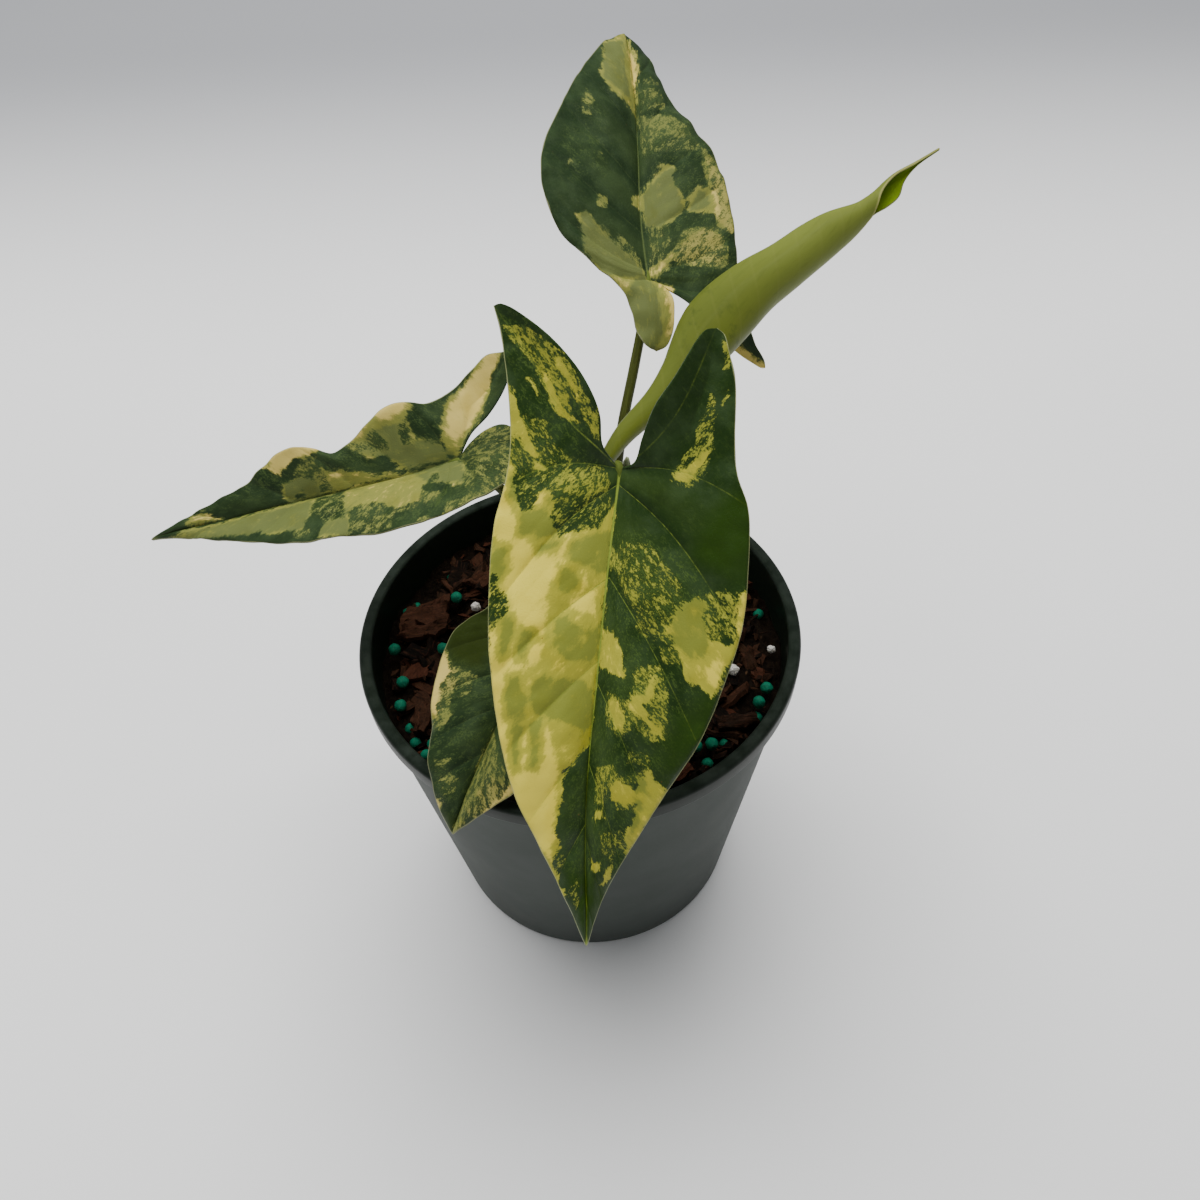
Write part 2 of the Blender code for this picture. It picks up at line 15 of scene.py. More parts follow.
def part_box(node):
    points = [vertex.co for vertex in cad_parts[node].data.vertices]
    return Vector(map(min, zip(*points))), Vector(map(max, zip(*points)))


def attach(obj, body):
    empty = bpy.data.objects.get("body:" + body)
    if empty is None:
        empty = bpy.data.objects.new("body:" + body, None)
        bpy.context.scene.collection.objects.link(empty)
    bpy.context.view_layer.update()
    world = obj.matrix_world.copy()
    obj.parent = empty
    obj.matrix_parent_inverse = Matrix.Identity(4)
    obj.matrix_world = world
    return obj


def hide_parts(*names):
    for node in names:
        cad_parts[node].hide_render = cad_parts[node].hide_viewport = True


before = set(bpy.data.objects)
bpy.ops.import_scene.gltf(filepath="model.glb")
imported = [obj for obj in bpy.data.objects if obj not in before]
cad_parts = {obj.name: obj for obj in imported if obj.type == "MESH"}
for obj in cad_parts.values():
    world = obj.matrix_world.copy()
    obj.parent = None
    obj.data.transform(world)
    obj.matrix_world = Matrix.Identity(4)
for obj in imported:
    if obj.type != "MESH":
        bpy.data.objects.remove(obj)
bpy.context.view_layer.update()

MM = 0.001
BODY = "root"

# Pot: the rim's reach and the height come from the frame's own box.
POT_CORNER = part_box("pot")[1]
POT_HEIGHT = POT_CORNER[2] / MM
RIM_RADIUS = POT_CORNER[0] / MM
RIM_WIDTH = 3.1
RIM_HEIGHT = 5.0
SHOULDER_RADIUS = 50.6
BASE_RADIUS = 38.5
WALL = 1.2
FLOOR = 1.4
POT_STEPS = 200
DRAIN_COUNT = 8
DRAIN_RADIUS = 4.5
DRAIN_CIRCLE = 29.0
DRILL_SIDES = 48
DRILL_LENGTH = 8.0

# The mix: its level, the round that its crumbs lie in, and the steps of its mesh. A piece of
# bark is cut along its length, width and thickness. LUMPS is how uneven a grain is, as a share
# of its radius, and a bead's radius is PRILL_SHARE of its solid's.
MIX_TOP = 80.0
MIX_RADIUS = 47.8
MIX_RINGS = 110
MIX_STEPS = 220
CHIP_SEED = 23
CHIP_CUTS = (14, 10, 4)
CRUMB_SEED = 41
CRUMB_CUTS = (4, 2, 1)
CRUMB_COUNT = 1500
CRUMB_LENGTHS = (1.2, 1.6, 2.0, 2.6, 3.4, 4.8, 6.6, 8.5)
CRUMB_WIDTHS = (0.14, 0.25, 0.4, 0.6, 0.8)
PERLITE_LUMPS = 0.22
PRILL_LUMPS = 0.09
PRILL_SHARE = 0.97
LOOSE_PRILL_RADIUS = 1.35
LOOSE_PRILLS = [
    (-43.6, 15.2), (-41.5, 17.7), (-34.6, -2.0), (-40.3, -20.5), (-39.0, -24.2), (-36.2, -28.1),
    (-34.8, -25.4), (-29.8, -31.6), (40.3, -21.7), (32.2, -28.4), (27.6, -33.8), (44.6, 9.4),
    (-18.6, -37.0), (17.4, 38.2), (-33.0, 27.0), (-5.0, 44.0), (35.6, 26.4), (-22.0, 12.0),
]

# Edges where faces meet at more than so many degrees stay sharp.
SHARP_STALK = 60
SHARP_POT = 40
SHARP_CHIP = 50
SHARP_CRUMB = 35

# Stalks: route, then the radius at the foot and at the top. A stalk that carries an open blade
# bends over and thins into the blade's midrib along the last KNEE millimetres.
PETIOLES = {
    "front_petiole": ([(5.4, -6.8, 79.5), (6.2, -7.6, 96), (8.4, -8.4, 115), (10.2, -7.4, 132),
                       (10.2, -5.6, 141), (10.1, -5.3, 143.4), (10.1, -5.7, 144.5),
                       (10.2, -6.6, 144.7), (10.3, -7.8, 143.7), (10.2, -9.2, 142.4)], 2.1, 1.1),
    "left_petiole": ([(-0.6, 0.3, 79.5), (-1.8, 2.6, 98), (-7, 8.5, 112), (-15.5, 14, 121.3),
                      (-22.6, 17.8, 125.4), (-24.8, 18.4, 126.7), (-27.8, 18.2, 126.7)], 2.0, 1.1),
    "back_petiole": ([(6.1, 4.7, 79.5), (7.4, 9.2, 100), (9.9, 18, 117), (12.4, 26, 128.5),
                      (15.5, 35, 137), (18.0, 43, 143.6), (19.6, 49.6, 149.1),
                      (19.8, 51.2, 150.1), (19.8, 53.6, 151.5)], 2.0, 1.1),
    "small_petiole": ([(1.0, -4.8, 79.5), (-0.6, -7.4, 92), (-4, -12, 101), (-6.7, -15.9, 107.0),
                       (-7.2, -17.0, 107.6), (-8.4, -19.1, 106.6)], 1.7, 1.0),
    "new_petiole": ([(5.0, -1.0, 96.0), (4.7, -1.6, 112), (4.0, -3.0, 127), (4.4, -4.4, 137),
                     (5.7, -3.9, 141.6), (7.8, -2.45, 143.4)], 1.7, 0.95),
}
KNEE = 4.2
STALK_ROWS = 110
STALK_SIDES = 28
STALK_GROOVE = 0.13
STALK_SWAY = 0.05
STALK_LEAN = np.array([0.3, 0.95, 0.05])

# The stem's profile as radius and height, round its axis, from the top down.
STEM_AXIS = (5.0, -1.0)
STEM_SIDES = 40
STEM_PROFILE = [(2.2, 97.2), (2.9, 95.6), (2.7, 92.8), (3.2, 91.5), (2.8, 90.4), (2.8, 86.8),
                (3.3, 85.5), (2.9, 84.4), (3.2, 80.0), (3.4, 75.5)]

# The sheath is a thin open channel beside the new petiole, which twists and ends in a point.
SHEATH_ROUTE = [(8.2, -1.0, 94.6), (7.6, -1.1, 99.5), (8.4, -1.0, 112), (9.8, -1.2, 128),
                (11.4, -3.4, 139), (11.9, -4.6, 145.3)]
SHEATH_TWIST = math.radians(65)
SHEATH_RADIUS = 3.0
SHEATH_ARC = math.radians(110)
SHEATH_THICKNESS = 0.45
SHEATH_ROWS = 60
SHEATH_COLUMNS = 16

# The new leaf is a sheet rolled round itself. A station holds its distance along the leaf, the
# roll's centre (x, z), its half width and half depth, and the angles where the sheet starts
# at its free margin and ends inside the roll.
NEW_LEAF_JUNCTION = (8.1, -2.2, 143.7)
NEW_LEAF_ANGLES = (17.6, 30.0, -51.4)
NEW_LEAF_STATIONS = [
    (-1.2, 0.3, 0.2, 1.7, 1.6, -90, 290), (7.0, -1.6, -2.8, 2.35, 2.0, -90, 290),
    (17.7, -2.4, -6.8, 3.3, 2.7, -85, 310), (25.0, -3.6, -9.0, 4.4, 3.2, -75, 340),
    (29.5, -4.8, -10.2, 5.4, 3.8, -60, 380), (33.5, -5.8, -11.0, 6.3, 4.2, -35, 430),
    (36.5, -6.4, -11.4, 6.9, 4.4, -24, 470), (40.5, -7.1, -11.8, 7.3, 4.6, -22, 480),
    (46.8, -7.6, -12.4, 7.2, 4.8, -22, 480), (55.1, -7.4, -12.2, 6.4, 4.6, -20, 480),
    (62.7, -6.1, -11.3, 5.6, 4.2, -18, 470), (70.4, -5.1, -10.0, 5.1, 3.8, -16, 450),
    (76.1, -3.9, -8.2, 4.3, 3.2, -10, 410), (81.4, -2.3, -6.4, 2.7, 2.3, 20, 360),
    (83.6, -1.7, -5.4, 2.4, 2.0, 60, 345), (86.0, -1.1, -4.5, 2.5, 1.9, 108, 345),
    (89.0, -1.0, -3.6, 2.5, 1.7, 128, 352), (92.0, -1.6, -2.8, 1.5, 1.2, 122, 345),
    (96.0, -1.2, -1.6, 0.6, 0.6, 90, 330), (101.2, 0.0, 0.0, 0.3, 0.3, 60, 330),
]
ROLL_ROWS = 210
ROLL_COLUMNS = 90
ROLL_SHRINK = 0.16
ROLL_THICKNESS = 0.3

# Open blades: rows across the lobes and the blade, columns from midrib to margin.
LOBE_ROWS = 56
BLADE_ROWS = 176
COLUMNS = 38
BLADE_THICKNESS = 0.42
VEIN_ANGLE = math.radians(48)

# Each leaf lies in its own frame: its origin is the junction with the petiole, +y runs along
# the midrib to the tip, and +z comes out of the upper face. "right" is the half at +x. An
# outer margin runs from the lobe's tip to the leaf's tip, and a lobe margin from the
# junction to the lobe's tip. "veins" pairs the height where a side vein leaves the midrib with
# the height where it meets the margin, and "lobe_vein" is the way of the lobe's own vein.
LEAVES = {
    "front_leaf": {
        "junction": (10.5, -7, 144.8), "heading": 170.8, "rise": -41.2, "roll": -4.0,
        "veins_show": 1.0,
        "midrib": [(0, 0, 0), (0.5, 10, 1), (1, 22, 2), (1.5, 41, 2.5), (2, 61, 2), (1.5, 75, 1),
            (0.5, 87, 0), (0, 95, -1)],
        "right": {
            "outer": [(27, -30, 3), (25.3, -25, 3), (23.6, -17, 3), (22.3, -9, 3), (21.8, -2, 3),
                (22.3, 5, 3.5), (23.8, 14, 4), (23.7, 27, 4.5), (22.5, 40, 4.5), (19.5, 55, 4),
                (15.5, 66.5, 3), (10.5, 75.5, 1.5), (4, 87, 0), (0, 95, -1)],
            "lobe": [(0, 0, 0), (3.6, -4, 2.5), (4.5, -9.5, 4.5), (6.5, -14, 5.5), (10, -19, 5.5),
                (15.5, -24.5, 4.5), (22, -29, 3.5), (25.4, -30.5, 3.2), (27, -30, 3)],
            "veins": [(0, 5), (3, 31), (22, 43), (38, 58), (54, 71), (70, 82), (83, 89.5), (95, 95)],
            "lobe_vein": [(0, 0), (5, -4), (10, -8), (15, -14), (21, -23), (27, -30)],
            "bulge": 1.5, "lobe_valley": 2.5,
        },
        "left": {
            "outer": [(-17, -28.3, 3), (-18.6, -27.2, 3), (-19.6, -24.4, 3), (-21.5, -17.5, 3),
                (-22, -7.5, 3), (-23, 0, 3.5), (-25.5, 6.5, 4), (-26.2, 15, 4.5), (-26, 29, 4.5),
                (-23.5, 40, 4), (-19.5, 52, 3.5), (-13, 64, 2), (-5.2, 79, 0.5), (-2.9, 84.3, 0),
                (-1.4, 89, -0.5), (0, 95, -1)],
            "lobe": [(0, 0, 0), (-2.8, -1.4, 1.5), (-4, -6, 3.5), (-6, -12, 5.5), (-9.5, -18, 5.5),
                (-13, -25, 4.5), (-14.8, -27.7, 3.7), (-17, -28.3, 3)],
            "veins": [(0, 6), (3, 32), (21, 53), (42, 68), (58, 78), (72, 86), (84, 91), (95, 95)],
            "lobe_vein": [(0, 0), (-5, -4), (-9, -9), (-12.5, -16), (-16.5, -27.6)],
            "bulge": 1.5, "lobe_valley": 2.5, "lobe_line": 0.3,
        },
    },
    "back_leaf": {
        "junction": (19.8, 50.4, 150.3), "heading": 1.3, "rise": 23.4, "roll": 14.0,
        "veins_show": 0.25,
        "midrib": [(0, 0, 0), (-0.5, 10, 0.3), (-0.5, 20, 0.5), (0.3, 39.5, 1), (0.5, 50, 1),
            (0.7, 62, 0), (0.5, 72.5, -2)],
        "left": {
            "outer": [(1, -17.2, -2), (-1.6, -16.3, -1.6), (-3.3, -13.6, -1), (-4.4, -9, 0),
                (-6, -4.5, 0.5), (-10, -0.5, 1), (-17, 5.5, 2), (-21.5, 11.5, 3), (-23.8, 18, 3.5),
                (-24.4, 24.5, 4), (-23, 32.5, 4), (-19.5, 41, 3.5), (-15.5, 50, 2.5), (-11, 58.5, 1.5),
                (-5.5, 67, 0), (0.5, 72.5, -2)],
            "lobe": [(0, 0, 0), (2.6, -2.2, 1.2), (4.6, -6, 2.5), (4.8, -10.5, 1.5), (4.5, -13.6, 0),
                (3.3, -16.2, -1.2), (1, -17.2, -2)],
            "veins": [(0, 1), (2, 16), (12, 31), (24, 44), (38, 56), (54, 66), (72.5, 72.5)],
            "lobe_vein": [(0, 0), (-0.5, -5), (0, -11), (1, -17)],
            "bulge": 1.5, "lobe_valley": -1.2,
        },
        "right": {
            "outer": [(27.8, -18.6, -3.8), (27.4, -16.8, -3.2), (25.3, -14, -2), (23.5, -9.5, -0.8),
                (22, -1.5, 1), (21.6, 7, 2), (21.4, 14, 2.7), (20.8, 21, 3), (19.3, 29.5, 3.5),
                (16.5, 36.5, 3.5), (12.5, 44, 2.8), (8.8, 51, 1.8), (6.8, 59.5, 0.5), (4.6, 66.5, -1),
                (0.5, 72.5, -2)],
            "lobe": [(0, 0, 0), (3.2, -2.4, 1), (9, -6, 0.8), (14, -10.5, -0.6), (20.5, -15.6, -2.6),
                (26, -18.5, -3.6), (27.8, -18.6, -3.8)],
            "veins": [(0, -1), (2, 12), (12, 26), (24, 37), (38, 50), (54, 63), (72.5, 72.5)],
            "lobe_vein": [(0, 0), (8, -3.5), (15, -8), (21, -13), (28.5, -18.5)],
            "bulge": 1.5, "lobe_valley": -1.0,
        },
    },
    "left_leaf": {
        "junction": (-24.8, 18.5, 127.3), "heading": 97.6, "rise": -8.8, "roll": -20.0,
        "veins_show": 0.3,
        "midrib": [(0, 0, 0), (-0.8, 9.5, 0), (-0.7, 21, 0), (-0.6, 30, 0), (-0.2, 40.5, 0),
            (0, 58, -0.5), (0.5, 72.5, -1)],
        "left": {
            "outer": [(-2, -16.5, 4), (-7.5, -14, 4.5), (-11.5, -9, 5), (-13.2, -3, 5), (-15, 5, 5),
                (-15.8, 13.5, 5), (-15.2, 21.5, 5), (-14, 28.5, 5), (-12.6, 37.5, 4), (-9.5, 46, 3),
                (-4.8, 57.5, 1), (-1.2, 66.5, -0.2), (0.5, 72.5, -1)],
            "lobe": [(0, 0, 0), (2, -3.5, 2), (3.4, -8, 3.6), (2.8, -12.5, 4.4), (-2, -16.5, 4)],
            "veins": [(0, -2), (2, 10), (12, 22), (24, 35), (38, 48), (54, 62), (72.5, 72.5)],
            "lobe_vein": [(0, 0), (-1.5, -6), (-2, -11), (-2, -16.5)],
            "bulge": 0.0, "lobe_valley": 1.5,
        },
        "right": {
            "outer": [(21, -15.5, 5), (21, -11.5, 5), (18.5, -7.5, 5), (14.5, -1.5, 5), (12.6, 3.5, 5.5),
                (13, 7, 7), (13.4, 10.5, 7.8), (12.6, 14.5, 7), (10.5, 19.5, 5), (8.3, 23.5, 4),
                (7.3, 27.3, 4), (8.5, 31, 6), (9.5, 35, 7), (9.4, 39, 6), (8, 43.5, 4), (5.8, 48, 2.6),
                (4.6, 55, 1.6), (2.4, 64, 0.4), (0.5, 72.5, -1)],
            "lobe": [(0, 0, 0), (4.2, -4, 2), (7.4, -9, 3), (12, -13.6, 4), (16.5, -16, 5),
                (21, -15.5, 5)],
            "veins": [(0, -3), (2, 9), (12, 21), (24, 34), (38, 47), (54, 62), (72.5, 72.5)],
            "lobe_vein": [(0, 0), (6, -4), (12, -9), (21, -15.5)],
            "bulge": 0.0, "lobe_valley": 1.8,
        },
    },
    "small_leaf": {
        "junction": (-7, -16.7, 108.1), "heading": 149.1, "rise": -29.6, "roll": 0.0,
        "veins_show": 0.25,
        "midrib": [(0, 0, 0), (0.3, 12, 1), (0.5, 25, 1.2), (0.7, 37, 0.6), (0.5, 47.5, -1)],
        "right": {
            "outer": [(8.5, -9, 2), (11.5, -4.5, 3), (13.2, 0.5, 3), (16, 4, 3), (18, 8, 3),
                (18.4, 13, 3), (17.6, 18.5, 3), (16, 23.5, 3), (13.4, 29, 3), (10.8, 35.5, 3),
                (8, 40, 2.2), (4.8, 44, 0.8), (0.5, 47.5, -1)],
            "lobe": [(0, 0, 0), (2, -3.5, 0.8), (4.5, -7, 1.5), (8.5, -9, 2)],
            "veins": [(0, 3), (2, 13), (9, 23), (18, 32), (29, 40), (47.5, 47.5)],
            "lobe_vein": [(0, 0), (3, -3), (8.5, -9)],
            "bulge": 1.2, "lobe_valley": 0.8,
        },
        "left": {
            "outer": [(-8, -8.5, 2), (-11, -4, 3), (-13.5, 3, 3), (-15.2, 10, 3), (-15, 18, 3),
                (-13, 26.5, 3), (-9.6, 34, 2.5), (-6.3, 38.8, 2), (-2.8, 43.3, 1), (0.5, 47.5, -1)],
            "lobe": [(0, 0, 0), (-2, -3.5, 0.8), (-4.5, -6.5, 1.5), (-8, -8.5, 2)],
            "veins": [(0, 2), (2, 12), (9, 23), (18, 32), (29, 40), (47.5, 47.5)],
            "lobe_vein": [(0, 0), (-3, -3), (-8, -8.5)],
            "bulge": 1.2, "lobe_valley": 0.8,
        },
    },
}

# Colours as sRGB out of 255. The leaves nearest the camera are the most saturated.
FRONT_PALETTE = {
    "deep": (26, 46, 12), "deep_pale": (42, 60, 30), "mid": (70, 90, 36), "speck": (134, 138, 48),
    "olive": (122, 128, 48), "yellow_green": (160, 156, 52), "cream": (216, 200, 70),
    "vein": (128, 144, 52), "rim": (150, 154, 106), "fresh": (32, 54, 2),
}
REAR_PALETTE = {
    "deep": (28, 44, 22), "deep_pale": (44, 60, 34), "mid": (68, 84, 42), "speck": (112, 116, 58),
    "olive": (92, 100, 54), "yellow_green": (122, 124, 58), "cream": (198, 178, 96),
    "vein": (96, 108, 56), "rim": (128, 130, 90), "fresh": (38, 48, 2),
}
LEAF_WARMTH = (226, 214, 120)
LEAF_SPOT = (92, 58, 26)
UNDERSIDE = (96, 116, 66)
UNDERSIDE_PALE = (150, 152, 96)
UNDERSIDE_VEIN = (140, 150, 92)
# The rolled leaf's lit top is painted darker and its shaded lower side painted lighter.
SHOOT_TOP_PAINTED_DARKER = (83, 92, 31)
SHOOT_UNDERSIDE_PAINTED_LIGHTER = (91, 100, 31)
SHOOT_TIP = (110, 120, 50)
SHOOT_DEEP = (60, 72, 24)
SHOOT_RIM = (150, 148, 88)
SHOOT_INSIDE = (112, 138, 20)
SHOOT_INSIDE_SHADE = (44, 74, 16)
STALK = (46, 48, 20)
STALK_PALE = (80, 88, 36)
STALK_RIB_SHADE = (120, 112, 90)
STALK_KNEE = (84, 96, 38)
STEM_GREEN = (64, 72, 34)
SHEATH_GREY = (112, 120, 84)
SHEATH_TIP = (136, 144, 110)
POT_GREEN = (21, 28, 21)
POT_WALL_REFLECTION = (65, 70, 66)
POT_WORN = (62, 70, 62)
POT_CLOUD = (190, 200, 192)
POT_DUST = (84, 80, 70)
PEAT = (22, 16, 11)
PEAT_DARK = (12, 8, 6)
GRIT = (96, 70, 48)
BARK_RED = (60, 33, 22)
BARK_BROWN = (46, 30, 20)
BARK_DARK = (15, 11, 8)
BARK_FIBRE = (84, 52, 38)
BARK_CREVICE = (10, 7, 5)
BARK_DUST = (76, 58, 46)
PRILL_GREEN = (4, 88, 64)
PRILL_PALE = (14, 108, 80)
PRILL_RUBBED = (52, 96, 72)
PRILL_SOIL = (24, 24, 16)
PERLITE_WHITE = (196, 192, 184)
PERLITE_PORE = (120, 114, 104)
PERLITE_STAIN = (140, 116, 92)
BACKDROP = (237, 237, 236)
BACKDROP_CLOUD = (233, 233, 232)
BACKDROP_FAR_SHADE = (150, 151, 154)

# The stage. Painted shade, for light that falls off behind the pot, turns the floor greyer from
# the first to the second distance of the fade behind it. A lamp has its place, what it looks at,
# its size and its power in watts. The camera's clip is in metres.
FLOOR_REACH = 9000.0
FLOOR_LEVEL = -0.02
BACKDROP_SHADE_FADE = (200.0, 570.0)
WORLD_COLOUR = (0.93, 0.96, 1.0, 1.0)
WORLD_STRENGTH = 0.23
LIGHTS = {
    "overhead": ((-100, 420, 1200), (0, 40, 80), (1550, 1150), 36.0),
    "front_fill": ((-200, -950, 420), (0, 0, 70), (900, 600), 1.6),
}
CAMERA_PLACE = (5.25, -177.6, 298.2)
CAMERA_TILT = 41.6
CAMERA_ROLL = -2.85
CAMERA_LENS = 34.5
CAMERA_SENSOR = 36.0
CAMERA_CLIP = (0.01, 20.0)

